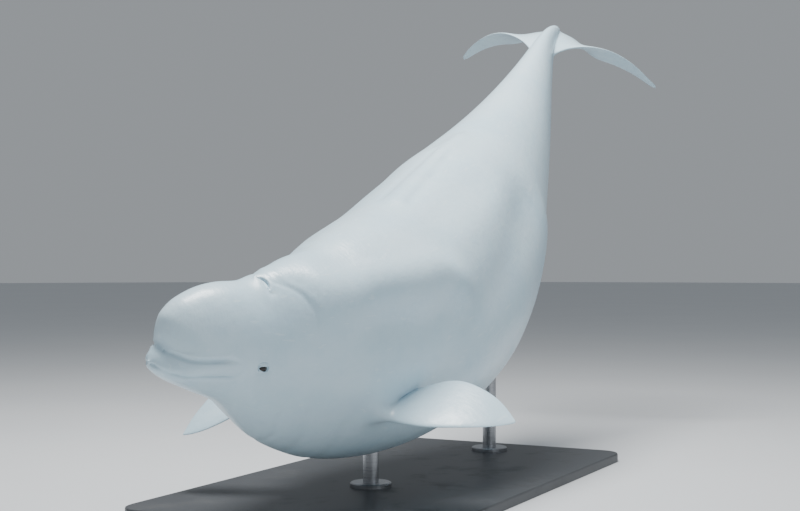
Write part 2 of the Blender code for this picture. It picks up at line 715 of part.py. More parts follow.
NODE_PLACES = {
    "head": (0.0, 0.30, 0.05),
    "lower_jaw": (0.0, 0.20, -0.17),
    "neck": (0.0, 0.70, 0.0),
    "chest": (0.0, 1.10, 0.0),
    "trunk": (0.0, 2.00, 0.0),
    "tail": (0.0, 3.00, 0.0),
    "tail_stock": (0.0, 3.70, 0.0),
    "flipper_left": (0.55, 0.95, -0.20),
    "flipper_right": (-0.55, 0.85, -0.30),
    "fluke_left": (0.30, 3.95, -0.08),
    "fluke_right": (-0.30, 3.95, -0.08),
}


def name_pieces(pieces, group, finish):
    """Makes an object of each named piece: the loose piece whose middle lies nearest the node's place."""
    left = list(pieces[:len(NODE_PLACES)])
    for name, place in NODE_PLACES.items():
        target = Vector(carried(np.array(place)))
        best = min(left, key=lambda piece: (centre_of(piece) - target).length)
        left.remove(best)
        mesh = bpy.data.meshes.new(name)
        best.to_mesh(mesh)
        made = add_object(name, mesh, group, finish)
        mesh.materials.clear()
        mesh.materials.append(finish)
        made.data.shade_smooth()
    for piece in pieces:
        piece.free()


def centre_of(piece):
    total, weight = Vector(), 0.0
    for face in piece.faces:
        area = face.calc_area()
        total += face.calc_center_median() * area
        weight += area
    return total / weight


def rounded_base(group, finish):
    """The flat base: a rounded outline with its thickness, and a small bevel on its top edge."""

    def build(shape):
        half = Vector((BASE_WIDTH / 2 - BASE_CORNER, BASE_LENGTH / 2 - BASE_CORNER))
        verts = []
        for corner, (sx, sy) in enumerate(((1, 1), (-1, 1), (-1, -1), (1, -1))):
            for step in range(7):
                turn = math.radians(corner * 90 + step * 15)
                verts.append(shape.verts.new((BASE_CENTRE[0] + sx * half.x + BASE_CORNER * math.cos(turn),
                                              BASE_CENTRE[1] + sy * half.y + BASE_CORNER * math.sin(turn), 0.0)))
        face = shape.faces.new(verts)
        grown = bmesh.ops.extrude_face_region(shape, geom=[face])
        bmesh.ops.translate(shape, vec=(0, 0, BASE_THICKNESS),
                            verts=[item for item in grown["geom"] if isinstance(item, bmesh.types.BMVert)])
        top = [edge for edge in shape.edges if all(vert.co.z > BASE_THICKNESS / 2 for vert in edge.verts)]
        bmesh.ops.bevel(shape, geom=top, offset=0.006, segments=2, affect="EDGES", profile=0.5)

    add_object("stand_base", mesh_from("stand_base", build), group, finish)


def stand_rod(name, back, trunk, group, cutters, finish):
    """A flanged rod from the base up to the belly, hollowed at its top to fit the skin."""
    belly = carried(skin(np.interp(back, RAILS[:, 5], np.arange(len(STATIONS))), 180.0))
    top = 0.10
    foot = BASE_THICKNESS + GAP
    profile = [(0, foot), (ROD_FLANGE_RADIUS, foot), (ROD_FLANGE_RADIUS, foot + ROD_FLANGE_HEIGHT - 0.004),
               (ROD_FLANGE_RADIUS - 0.004, foot + ROD_FLANGE_HEIGHT), (ROD_RADIUS, foot + ROD_FLANGE_HEIGHT),
               (ROD_RADIUS, belly[2] + top), (0, belly[2] + top)]

    def build(shape):
        verts = [shape.verts.new((belly[0] + radius, belly[1], height)) for radius, height in profile]
        edges = [shape.edges.new(pair) for pair in zip(verts[:-1], verts[1:])]
        bmesh.ops.spin(shape, geom=verts + edges, cent=(belly[0], belly[1], 0), axis=(0, 0, 1),
                       angle=2 * math.pi, steps=32, use_merge=True, use_duplicate=False)
        bmesh.ops.remove_doubles(shape, verts=shape.verts, dist=1e-6)

    rod = add_object(name, mesh_from(name, build), group, finish)
    cutter = add_object(f"{name} belly", trunk.data.copy(), cutters)
    grow(cutter.data, GAP)
    boolean(rod, cutter, "DIFFERENCE")
    keep_largest(rod)
    rod.data.materials.clear()
    rod.data.materials.append(finish)


def grow(mesh, distance):
    """Moves a mesh's points out along their normals."""
    normals = [Vector(vert.normal) for vert in mesh.vertices]
    for vert, normal in zip(mesh.vertices, normals):
        vert.co += normal * distance


def keep_largest(made):
    pieces = loose_pieces(made)
    mesh = bpy.data.meshes.new(made.name)
    pieces[0].to_mesh(mesh)
    made.data = mesh
    for piece in pieces:
        piece.free()


def build_whale():
    parts = collection("beluga_whale")
    cutters = collection("cutters", hidden=True)
    skin_finish = material("skin", SKIN_COLOUR, 0.42)
    eye_finish = material("eye", EYE_COLOUR, 0.06)
    base_finish = material("stand base", BASE_COLOUR, 0.45)
    rod_finish = material("stand rod", ROD_COLOUR, 0.30, 1.0)
    settle_spine()
    body = add_object("body", body_mesh(), cutters)
    fins = {"left flipper": flipper_rings(LEFT_FLIPPER), "right flipper": flipper_rings(RIGHT_FLIPPER),
            "left fluke": fluke_rings(1), "right fluke": fluke_rings(-1)}
    for name, rings in fins.items():
        boolean(body, add_object(name, loft(name, SPINE.place(rings)), cutters), "UNION")
    shape_head(body, cutters)
    whole = add_object("whole body", body.data.copy(), cutters)
    part_body(body, cutters)
    name_pieces(loose_pieces(body), parts, skin_finish)
    bpy.data.objects.remove(body)
    for side, word in ((1, "left"), (-1, "right")):
        eye = add_object(f"eye_{word}", eye_mesh(side, EYE_RADIUS, f"eye_{word}"), parts, eye_finish)
        eye.data.shade_smooth()
    rounded_base(parts, base_finish)
    for name, back in (("stand_rod_front", FRONT_ROD_Y), ("stand_rod_rear", REAR_ROD_Y)):
        stand_rod(name, back, whole, parts, cutters, rod_finish)
    bpy.data.objects.remove(whole)


for old in list(bpy.data.objects):
    bpy.data.objects.remove(old)
build_whale()
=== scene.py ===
"""The looks of a life-size beluga whale, held by a plain display stand.

The whale is modelled straight: x to its left, y back from the tip of its beak, z up from its spine. One
mesh is blocked out as a tube, its fins are extruded from it, and it is shaped by named stations. The lids
and the blowhole are worked into it, it is smoothed, its skin gets its folds, and the whole is then carried
along the posed spine.
"""
import logging
import math
from collections.abc import Callable, Iterator, Sequence
from contextlib import contextmanager
from dataclasses import dataclass, field
from enum import Enum

import bmesh
import bpy
import numpy as np
from mathutils import Matrix, Vector


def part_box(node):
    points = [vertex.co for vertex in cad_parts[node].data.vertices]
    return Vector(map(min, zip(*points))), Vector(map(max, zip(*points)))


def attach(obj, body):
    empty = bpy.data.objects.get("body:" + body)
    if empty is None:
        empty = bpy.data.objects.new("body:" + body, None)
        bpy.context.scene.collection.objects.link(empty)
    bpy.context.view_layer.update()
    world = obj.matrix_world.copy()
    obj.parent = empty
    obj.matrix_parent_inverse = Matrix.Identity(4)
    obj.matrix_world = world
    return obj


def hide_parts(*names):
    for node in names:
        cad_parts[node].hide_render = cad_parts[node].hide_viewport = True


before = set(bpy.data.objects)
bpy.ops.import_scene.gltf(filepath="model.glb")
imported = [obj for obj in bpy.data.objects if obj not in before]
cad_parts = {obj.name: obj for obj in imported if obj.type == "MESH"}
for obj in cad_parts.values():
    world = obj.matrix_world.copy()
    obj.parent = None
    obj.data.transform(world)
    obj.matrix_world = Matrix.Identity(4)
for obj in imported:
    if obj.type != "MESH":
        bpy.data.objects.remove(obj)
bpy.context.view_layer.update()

Array = np.ndarray
Colour = tuple[float, float, float, float]
LOG = logging.getLogger("beluga")
WHALE_NODES = ("head", "lower_jaw", "neck", "chest", "trunk", "tail", "tail_stock",
               "flipper_left", "flipper_right", "fluke_left", "fluke_right")


class Side(Enum):
    """The whale's own left and right, as the sign of x."""

    LEFT = 1
    RIGHT = -1

    @property
    def mirror(self) -> Array:
        """What a point of the left is multiplied by to lie on this side."""
        return np.array([self.value, 1, 1])


@dataclass(frozen=True)
class Station:
    """One ring of the straight whale: where it crosses the back, the widest side and the belly."""

    name: str
    top: tuple[float, float]
    side: tuple[float, float, float]
    bottom: tuple[float, float]


STATIONS = (
    Station("beak tip", (0.000, -0.106), (0.003, 0.012, -0.113), (0.002, -0.121)),
    Station("lips", (0.007, -0.088), (0.020, 0.053, -0.114), (0.012, -0.138)),
    Station("lip crease", (0.028, -0.054), (0.068, 0.094, -0.108), (0.045, -0.158)),
    Station("melon foot", (0.012, -0.008), (0.112, 0.126, -0.095), (0.092, -0.176)),
    Station("melon front", (0.007, 0.042), (0.160, 0.143, -0.074), (0.150, -0.192)),
    Station("melon brow", (0.031, 0.090), (0.212, 0.154, -0.059), (0.208, -0.208)),
    Station("melon crown", (0.083, 0.133), (0.258, 0.164, -0.049), (0.268, -0.222)),
    Station("melon top", (0.145, 0.166), (0.303, 0.171, -0.044), (0.328, -0.244)),
    Station("eyes", (0.220, 0.189), (0.347, 0.174, -0.041), (0.377, -0.273)),
    Station("blowhole", (0.308, 0.203), (0.392, 0.175, -0.038), (0.427, -0.306)),
    Station("nape", (0.420, 0.261), (0.486, 0.180, -0.033), (0.527, -0.372)),
    Station("neck", (0.570, 0.316), (0.621, 0.208, -0.026), (0.652, -0.428)),
    Station("throat", (0.704, 0.346), (0.724, 0.246, -0.021), (0.745, -0.462)),
    Station("shoulder", (0.859, 0.396), (0.869, 0.302, -0.016), (0.880, -0.493)),
    Station("fore chest", (1.066, 0.431), (1.071, 0.372, -0.013), (1.076, -0.525)),
    Station("chest", (1.325, 0.452), (1.325, 0.418, -0.013), (1.325, -0.551)),
    Station("belly", (1.636, 0.472), (1.636, 0.416, -0.014), (1.636, -0.572)),
    Station("girth", (1.947, 0.464), (1.947, 0.386, -0.015), (1.947, -0.556)),
    Station("loin", (2.257, 0.412), (2.257, 0.334, -0.011), (2.257, -0.468)),
    Station("vent", (2.568, 0.345), (2.568, 0.270, -0.006), (2.568, -0.360)),
    Station("fore tail", (2.879, 0.272), (2.879, 0.209, 0.000), (2.879, -0.266)),
    Station("mid tail", (3.190, 0.205), (3.190, 0.148, 0.000), (3.190, -0.192)),
    Station("rear tail", (3.449, 0.155), (3.449, 0.100, 0.000), (3.449, -0.142)),
    Station("tail stock", (3.656, 0.118), (3.656, 0.067, 0.000), (3.656, -0.104)),
    Station("fluke root", (3.811, 0.090), (3.811, 0.048, 0.000), (3.811, -0.076)),
    Station("fluke keel", (3.936, 0.062), (3.936, 0.036, 0.000), (3.936, -0.050)),
    Station("keel end", (4.040, 0.034), (4.040, 0.022, 0.000), (4.040, -0.028)),
    Station("notch", (4.095, 0.010), (4.095, 0.008, 0.000), (4.095, -0.010)),
)


@dataclass(frozen=True)
class Bend:
    """The spine's heading, rise and roll in degrees at a distance back from the beak."""

    y: float
    heading: float
    rise: float
    roll: float


BENDS = (
    Bend(0.397, 15.8, -7.0, -14.0),
    Bend(1.014, 5.0, 8.6, -9.0),
    Bend(1.947, -1.7, 30.1, -4.0),
    Bend(2.879, -4.6, 38.3, -4.0),
    Bend(3.552, -6.1, 40.8, -7.0),
    Bend(3.863, -6.5, 30.0, -10.0),
    Bend(4.122, -6.0, 12.0, -11.0),
)


@dataclass(frozen=True)
class Fold:
    """A soft ridge or valley of the skin along a path of distances back and angles down from the back."""

    path: tuple[tuple[float, float], ...]
    height: float
    width: float
    right_share: float = 0.55


NECK_ARC = ((0.385, 8), (0.40, 20), (0.45, 32), (0.49, 42), (0.51, 51), (0.53, 58), (0.54, 69))
FOLDS = (
    Fold(((0.58, 49), (0.71, 50), (0.91, 51), (1.03, 51), (1.12, 52), (1.18, 57), (1.19, 64)), 0.042, 0.075),
    Fold(((0.80, 70), (0.96, 77), (1.06, 77), (1.13, 72)), -0.032, 0.070),
    Fold(((0.62, 88), (0.71, 100), (0.83, 111)), 0.012, 0.080),
    Fold(((1.18, 110), (1.35, 106), (1.54, 102), (1.76, 98), (2.00, 94), (2.22, 88)), 0.022, 0.090),
    Fold(((1.30, 122), (1.60, 124), (1.90, 122), (2.20, 114)), 0.014, 0.100),
    Fold(((1.24, 80), (1.52, 75), (1.74, 68), (2.08, 63)), -0.020, 0.080),
    Fold(((1.31, 29), (1.58, 29), (1.85, 32)), -0.010, 0.060),
    Fold(((1.34, 42), (1.61, 43), (1.95, 45)), 0.008, 0.060),
    Fold(NECK_ARC, -0.005, 0.018, 1.0),
    Fold(((1.35, 0), (1.60, 0), (1.95, 0), (2.25, 0)), 0.020, 0.030, 1.0),
)


def monotone(xs: Sequence[float], ys: Sequence[float], at: Array) -> Array:
    """Piecewise cubic through points that never overshoots them.

    Args:
        xs: The points' places, rising.
        ys: Their values.
        at: Where it is read.

    Returns:
        The values there.
    """
    xs, ys, at = np.asarray(xs, float), np.asarray(ys, float), np.asarray(at, float)
    steps, slopes = np.diff(xs), np.diff(ys) / np.diff(xs)
    tangent = np.zeros_like(ys)
    tangent[0], tangent[-1] = slopes[0], slopes[-1]
    for i in range(1, len(xs) - 1):
        if slopes[i - 1] * slopes[i] > 0:
            before, after = 2 * steps[i] + steps[i - 1], steps[i] + 2 * steps[i - 1]
            tangent[i] = (before + after) / (before / slopes[i - 1] + after / slopes[i])
    k = np.clip(np.searchsorted(xs, at) - 1, 0, len(steps) - 1)
    t = np.clip((at - xs[k]) / steps[k], 0.0, 1.0)
    t2, t3 = t * t, t * t * t
    return ((2 * t3 - 3 * t2 + 1) * ys[k] + (t3 - 2 * t2 + t) * steps[k] * tangent[k]
            + (3 * t2 - 2 * t3) * ys[k + 1] + (t3 - t2) * steps[k] * tangent[k + 1])


def smoothstep(low: float, high: float, value: Array | float) -> Array:
    """0 below low, 1 above high and a smooth rise between them."""
    t = np.clip((np.asarray(value, float) - low) / (high - low), 0.0, 1.0)
    return t * t * (3 - 2 * t)


class BodyForm:
    """The straight whale's surface as a function of station number and angle from the back."""

    HALVINGS = 24
    FINE_NUMBERS = 1200
    SIDE_ANGLES = (5.0, 175.0)
    HEAD_ANGLES = (1.0, 179.0)
    FAR = 1e9

    def __init__(self, stations: Sequence[Station], folds: Sequence[Fold]) -> None:
        """Keeps the stations' rails and the folds."""
        self.rails = np.array([station.top + station.side + station.bottom for station in stations])
        self.folds = folds
        self.last = len(stations) - 1

    def rails_at(self, number: Array) -> Array:
        """Top (y, z), side (y, x, z) and bottom (y, z) at station numbers, which may lie between two."""
        numbers = np.arange(self.last + 1)
        return np.stack([monotone(numbers, self.rails[:, i], number) for i in range(self.rails.shape[1])], -1)

    def fold_height(self, y: Array, angle: Array, radius: Array, right: Array) -> Array:
        """How far the folds raise the skin.

        Args:
            y: Distances back from the beak.
            angle: Angles down from the back in degrees, 0 to 180.
            radius: The body's half width there.
            right: True where the point is on the whale's right.

        Returns:
            The height of the folds at each point.
        """
        raised = np.zeros_like(y)
        for fold in self.folds:
            nearest = np.full_like(y, self.FAR)
            path = np.array(fold.path, float)
            for (y0, a0), (y1, a1) in zip(path[:-1], path[1:]):
                across = np.radians(angle - a0) * radius
                run, turn = y1 - y0, np.radians(a1 - a0) * radius
                t = np.clip(((y - y0) * run + across * turn) / (run * run + turn * turn), 0.0, 1.0)
                nearest = np.minimum(nearest, np.hypot(y - y0 - t * run, across - t * turn))
            share = np.where(right, fold.right_share, 1.0)
            raised += share * fold.height * np.exp(-((nearest / fold.width) ** 2))
        return raised

    def point(self, number: Array | float, angle: Array | float) -> Array:
        """The skin's points at station numbers and angles in degrees, 0 at the back and 90 at the left.

        Args:
            number: Station numbers, which may lie between two.
            angle: Angles in degrees.

        Returns:
            The points.
        """
        number, angle = np.broadcast_arrays(np.asarray(number, float), np.asarray(angle, float))
        rail = self.rails_at(number)
        cosine, sine = np.cos(np.radians(angle)), np.sin(np.radians(angle))
        end_y = np.where(cosine >= 0, rail[..., 0], rail[..., 5])
        end_z = np.where(cosine >= 0, rail[..., 1], rail[..., 6])
        down = np.degrees(np.arccos(np.clip(cosine, -1, 1)))
        x = rail[..., 3] * sine
        y = rail[..., 2] + (end_y - rail[..., 2]) * cosine**2
        z = rail[..., 4] + (end_z - rail[..., 4]) * np.abs(cosine)
        raised = self.fold_height(y, down, rail[..., 3], sine < 0)
        return np.stack([x + raised * sine, y, z + raised * cosine], axis=-1)

    def angle_at(self, line_z: Callable[[float], float], number: float, low: float, high: float) -> float:
        """Angle on the left of a ring where the skin's height meets a line of the side view.

        Args:
            line_z: The line's height at a distance back.
            number: The ring's station number.
            low: An angle where the skin is above the line.
            high: An angle where it is below.

        Returns:
            The angle in degrees.
        """
        for _ in range(self.HALVINGS):
            middle = (low + high) / 2
            point = self.point(number, middle)
            if point[2] > line_z(float(point[1])):
                low = middle
            else:
                high = middle
        return (low + high) / 2

    def number_at(self, y: float, angle: float) -> float:
        """Station number of the ring that passes a distance back at an angle."""
        numbers = np.linspace(0, self.last, self.FINE_NUMBERS)
        return float(np.interp(y, np.maximum.accumulate(self.point(numbers, angle)[:, 1]), numbers))

    def on_skin(self, y: float, angle: float) -> Array:
        """The skin's point at a distance back and an angle."""
        return self.point(self.number_at(y, angle), angle)

    def side_point(self, y: float, z: float) -> Array:
        """The left side's point at a distance back and a height.

        Args:
            y: The distance back.
            z: The height.

        Returns:
            The point.
        """
        def on_ring(number: float) -> Array:
            """The ring's point at the height."""
            return self.point(number, self.angle_at(lambda _: z, number, *self.SIDE_ANGLES))

        low, high = 0.5, self.last - 1.5
        for _ in range(self.HALVINGS):
            number = (low + high) / 2
            if on_ring(number)[1] < y:
                low = number
            else:
                high = number
        return on_ring(number)


class Spine:
    """The posed spine: at each distance back, a point and the whale's left, back and up directions."""

    STEP = 0.01
    FIRST = -0.10
    LAST = 4.50

    def __init__(self, bends: Sequence[Bend]) -> None:
        """Works the spine's table out from its bends.

        Args:
            bends: The bends, from the head to the tail.
        """
        self.y = np.arange(self.FIRST, self.LAST, self.STEP)
        stops = [bend.y for bend in bends]
        held = np.clip(self.y, stops[0], stops[-1])
        heading, rise, roll = (np.radians(monotone(stops, [getattr(bend, key) for bend in bends], held))
                               for key in ("heading", "rise", "roll"))
        self.back = np.stack([np.sin(heading) * np.cos(rise), np.cos(heading) * np.cos(rise),
                              np.sin(rise)], -1)
        level = np.stack([np.cos(heading), -np.sin(heading), np.zeros_like(heading)], -1)
        above = np.cross(level, self.back)
        cosine, sine = np.cos(roll)[:, None], np.sin(roll)[:, None]
        self.left = level * cosine + above * sine
        self.up = above * cosine - level * sine
        middles = (self.back[1:] + self.back[:-1]) / 2
        self.origin = np.vstack([np.zeros(3), np.cumsum(middles * self.STEP, axis=0)])

    def frame(self, y: Array) -> list[Array]:
        """Point, left, back and up on the spine at distances back."""
        return [np.stack([np.interp(y, self.y, table[:, i]) for i in range(3)], -1)
                for table in (self.origin, self.left, self.back, self.up)]

    def place(self, points: Array) -> Array:
        """Carries points of the straight whale to the posed one."""
        points = np.asarray(points, float)
        origin, left, _, up = self.frame(points[..., 1])
        return origin + left * points[..., 0:1] + up * points[..., 2:3]

    def turn(self, point: Array, direction: Array) -> Array:
        """Carries a direction at a straight point to the posed whale."""
        _, left, back, up = self.frame(np.asarray(point)[1])
        return left * direction[0] + back * direction[1] + up * direction[2]

    def settle(self, eye: Array, eye_node: str) -> None:
        """Moves the spine so that a straight point comes to the middle of a CAD node.

        Args:
            eye: The straight point of the left eyeball's centre.
            eye_node: The node of that eyeball.
        """
        low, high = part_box(eye_node)
        self.origin += np.array((low + high) / 2) - self.place(eye)


@dataclass(frozen=True)
class Face:
    """The sizes and places of the mouth, eyes, ears and blowhole of the straight whale."""

    mouth_line: tuple[tuple[float, float], ...] = (
        (-0.030, -0.098), (0.000, -0.113), (0.015, -0.123), (0.040, -0.130), (0.075, -0.130),
        (0.127, -0.122), (0.201, -0.111), (0.251, -0.103), (0.280, -0.096))
    mouth_end: float = 0.274
    crease_line: tuple[tuple[float, float], ...] = (
        (-0.020, -0.058), (0.027, -0.062), (0.053, -0.066), (0.079, -0.069), (0.136, -0.062),
        (0.179, -0.054), (0.229, -0.047), (0.262, -0.050))
    crease_end: float = 0.250
    eye_y: float = 0.353
    eye_z: float = -0.061
    eye_radius: float = 0.020
    eye_sink: float = 0.0125
    ear_y: float = 0.502
    ear_z: float = -0.048
    blowhole_y: float = 0.378
    blowhole_angle: float = 16.0

    def mouth_z(self, y: float) -> float:
        """Height of the mouth's line."""
        return self.height_on(self.mouth_line, y)

    def crease_z(self, y: float) -> float:
        """Height of the crease between melon and upper lip."""
        return self.height_on(self.crease_line, y)

    @staticmethod
    def height_on(line: tuple[tuple[float, float], ...], y: float) -> float:
        """Height of a line of the side view at a distance back."""
        places, heights = zip(*line)
        return float(monotone(places, heights, np.array(y)))


@dataclass(frozen=True)
class SkinPlace:
    """A place on the straight whale's skin, such as an eye's: its point and its directions."""

    point: Array
    out: Array
    forward: Array
    up: Array

    STEP = 0.02

    @classmethod
    def of_eye(cls, form: BodyForm, face: Face, side: Side) -> "SkinPlace":
        """Finds the eye on one side of the head.

        Args:
            form: The straight whale's surface.
            face: The head's sizes.
            side: The whale's left or right.

        Returns:
            The place.
        """
        mid = form.side_point(face.eye_y, face.eye_z)
        back = form.side_point(face.eye_y + cls.STEP, face.eye_z) - mid
        rise = form.side_point(face.eye_y, face.eye_z + cls.STEP) - mid
        out = np.cross(back, rise)
        out *= np.sign(out[0]) / np.linalg.norm(out)
        forward = -back / np.linalg.norm(back)
        up = np.cross(out, forward)
        up *= np.sign(up[2])
        return cls(*(vector * side.mirror for vector in (mid, out, forward, up)))

    def centre(self, face: Face) -> Array:
        """The eyeball's centre."""
        return self.point - self.out * face.eye_sink


class Bench:
    """Blender's own modelling operators, used on one object at a time."""

    @staticmethod
    def clear() -> None:
        """Leaves edit mode and deselects every object."""
        if bpy.context.object and bpy.context.object.mode != "OBJECT":
            bpy.ops.object.mode_set(mode="OBJECT")
        bpy.ops.object.select_all(action="DESELECT")

    @staticmethod
    def only(made: bpy.types.Object) -> None:
        """Selects one object alone and makes it the active one."""
        Bench.clear()
        made.select_set(True)
        bpy.context.view_layer.objects.active = made

    @staticmethod
    def named(name: str) -> bpy.types.Object:
        """Names the object that was just added, with its place, turn and scale applied to its mesh."""
        bpy.ops.object.transform_apply(location=True, rotation=True, scale=True)
        made = bpy.context.object
        made.name = made.data.name = name
        return made

    @staticmethod
    @contextmanager
    def editing(made: bpy.types.Object, mode: str) -> Iterator[None]:
        """Edit mode on one object with nothing selected.

        Args:
            made: The object.
            mode: VERT, EDGE or FACE.
        """
        Bench.only(made)
        bpy.ops.object.mode_set(mode="EDIT")
        bpy.ops.mesh.select_mode(type=mode)
        bpy.ops.mesh.select_all(action="DESELECT")
        yield
        bpy.ops.object.mode_set(mode="OBJECT")

    @staticmethod
    def pick(made: bpy.types.Object, parts: str, test: Callable[[object], bool]) -> None:
        """Selects only the faces or edges that pass a test, in edit mode.

        Args:
            made: The object.
            parts: faces or edges.
            test: Takes a face or an edge and says whether it is selected.
        """
        bpy.ops.mesh.select_all(action="DESELECT")
        shape = bmesh.from_edit_mesh(made.data)
        for part in getattr(shape, parts):
            if test(part):
                part.select_set(True)
        bmesh.update_edit_mesh(made.data)

    @staticmethod
    def apply(made: bpy.types.Object, kind: str, **settings: object) -> None:
        """Adds a modifier and applies it.

        Args:
            made: The object.
            kind: The modifier's type.
            settings: Its settings.
        """
        Bench.only(made)
        modifier = made.modifiers.new(kind.lower(), kind)
        for key, value in settings.items():
            setattr(modifier, key, value)
        bpy.ops.object.modifier_apply(modifier=modifier.name)

    @staticmethod
    def read(items: bpy.types.bpy_prop_collection, key: str, width: int, kind: type = float) -> Array:
        """One property of every item of a mesh, such as a point's place.

        Args:
            items: The mesh's points or edges.
            key: The property.
            width: How many numbers it has.
            kind: Their type.

        Returns:
            A row for each item.
        """
        flat = np.empty(len(items) * width, kind)
        items.foreach_get(key, flat)
        return flat.reshape(-1, width)

    @staticmethod
    def points(made: bpy.types.Object) -> Array:
        """The mesh's points."""
        return Bench.read(made.data.vertices, "co", 3)

    @staticmethod
    def set_points(made: bpy.types.Object, points: Array) -> None:
        """Moves the mesh's points."""
        made.data.vertices.foreach_set("co", np.asarray(points, float).ravel())
        made.data.update()

    @staticmethod
    def normals(made: bpy.types.Object) -> Array:
        """The mesh's point normals."""
        return Bench.read(made.data.vertices, "normal", 3)

    @staticmethod
    def edges(made: bpy.types.Object) -> Array:
        """The numbers of the two points of each edge."""
        return Bench.read(made.data.edges, "vertices", 2, int)

    @staticmethod
    def attribute(made: bpy.types.Object, name: str, values: Array) -> None:
        """Stores one number, or one vector, for each point of the mesh.

        Args:
            made: The object.
            name: The attribute's name.
            values: A row for each point.
        """
        kind, key = ("FLOAT", "value") if values.ndim == 1 else ("FLOAT_VECTOR", "vector")
        layer = made.data.attributes.new(name, kind, "POINT")
        layer.data.foreach_set(key, values.astype(np.float32).ravel())

    @staticmethod
    def dress(made: bpy.types.Object, material: bpy.types.Material) -> None:
        """Shades an object smooth and gives it one material.

        Args:
            made: The object.
            material: The material.
        """
        Bench.only(made)
        bpy.ops.object.shade_smooth()
        made.data.materials.clear()
        made.data.materials.append(material)


class Wire:
    """One output of a material's nodes, with arithmetic that adds Math nodes."""

    def __init__(self, paint: "Paint", socket: bpy.types.NodeSocket) -> None:
        """Wraps a socket."""
        self.paint = paint
        self.socket = socket

    def _math(self, operation: str, first: object, second: object) -> "Wire":
        """A Math node on two values or wires."""
        return self.paint.add("ShaderNodeMath", {"operation": operation}, {0: first, 1: second})

    def __add__(self, other: object) -> "Wire":
        """Sum."""
        return self._math("ADD", self, other)

    __radd__ = __add__

    def __mul__(self, other: object) -> "Wire":
        """Product."""
        return self._math("MULTIPLY", self, other)

    __rmul__ = __mul__


class Paint:
    """A material under construction, with one method that adds any node."""

    def __init__(self, name: str, **constants: object) -> None:
        """Makes a Principled material.

        Args:
            name: The material's name.
            constants: Values of the shader's own sockets, with _ for a space in their names.
        """
        self.made = bpy.data.materials.new(name)
        self.made.use_nodes = True
        self.tree = self.made.node_tree
        self.shader = self.tree.nodes["Principled BSDF"]
        for key, value in constants.items():
            self.shader.inputs[key.replace("_", " ")].default_value = value

    def add(self, kind: str, settings: dict[str, object], sockets: dict[object, object],
            output: object = 0) -> Wire:
        """Adds a node.

        Args:
            kind: The node's type.
            settings: Its settings, which are set first.
            sockets: Values or wires of its inputs, by name or number.
            output: The output that the wire comes from.

        Returns:
            The wire.
        """
        node = self.tree.nodes.new(kind)
        for key, value in settings.items():
            setattr(node, key, value)
        for key, value in sockets.items():
            if isinstance(value, Wire):
                self.tree.links.new(value.socket, node.inputs[key])
            else:
                node.inputs[key].default_value = value
        return Wire(self, node.outputs[output])

    def place(self) -> Wire:
        """Object coordinates."""
        return self.add("ShaderNodeTexCoord", {}, {}, "Object")

    def attribute(self, name: str, output: str = "Fac") -> Wire:
        """A point attribute of the mesh."""
        return self.add("ShaderNodeAttribute", {"attribute_name": name}, {}, output)

    def noise(self, where: Wire, scale: float, detail: float = 3.0, roughness: float = 0.55) -> Wire:
        """A noise pattern."""
        return self.add("ShaderNodeTexNoise", {}, {"Vector": where, "Scale": scale, "Detail": detail,
                                                   "Roughness": roughness})

    def between(self, wire: Wire, low: float = 0.0, high: float = 1.0,
                to_low: float = 0.0, to_high: float = 1.0) -> Wire:
        """A range mapped smoothly to another."""
        return self.add("ShaderNodeMapRange", {"interpolation_type": "SMOOTHSTEP"}, {
            "Value": wire, "From Min": low, "From Max": high, "To Min": to_low, "To Max": to_high})

    def blend(self, factor: Wire | float, first: object, second: object) -> Wire:
        """A mix of two colours."""
        return self.add("ShaderNodeMix", {"data_type": "RGBA"}, {0: factor, 6: first, 7: second}, 2)

    def bump(self, height: Wire, distance: float, strength: float = 1.0, under: Wire | None = None) -> Wire:
        """A bump over another.

        Args:
            height: The pattern that raises the surface.
            distance: Its height in metres.
            strength: Its share.
            under: The normal that it lies over.

        Returns:
            The normal.
        """
        sockets = {"Height": height, "Distance": distance, "Strength": strength}
        if under is not None:
            sockets["Normal"] = under
        return self.add("ShaderNodeBump", {}, sockets)

    def feed(self, **wires: Wire) -> bpy.types.Material:
        """Links wires to the shader's sockets, with _ for a space in their names.

        Args:
            wires: A wire for each socket.

        Returns:
            The finished material.
        """
        for key, wire in wires.items():
            self.tree.links.new(wire.socket, self.shader.inputs[key.replace("_", " ")])
        return self.made


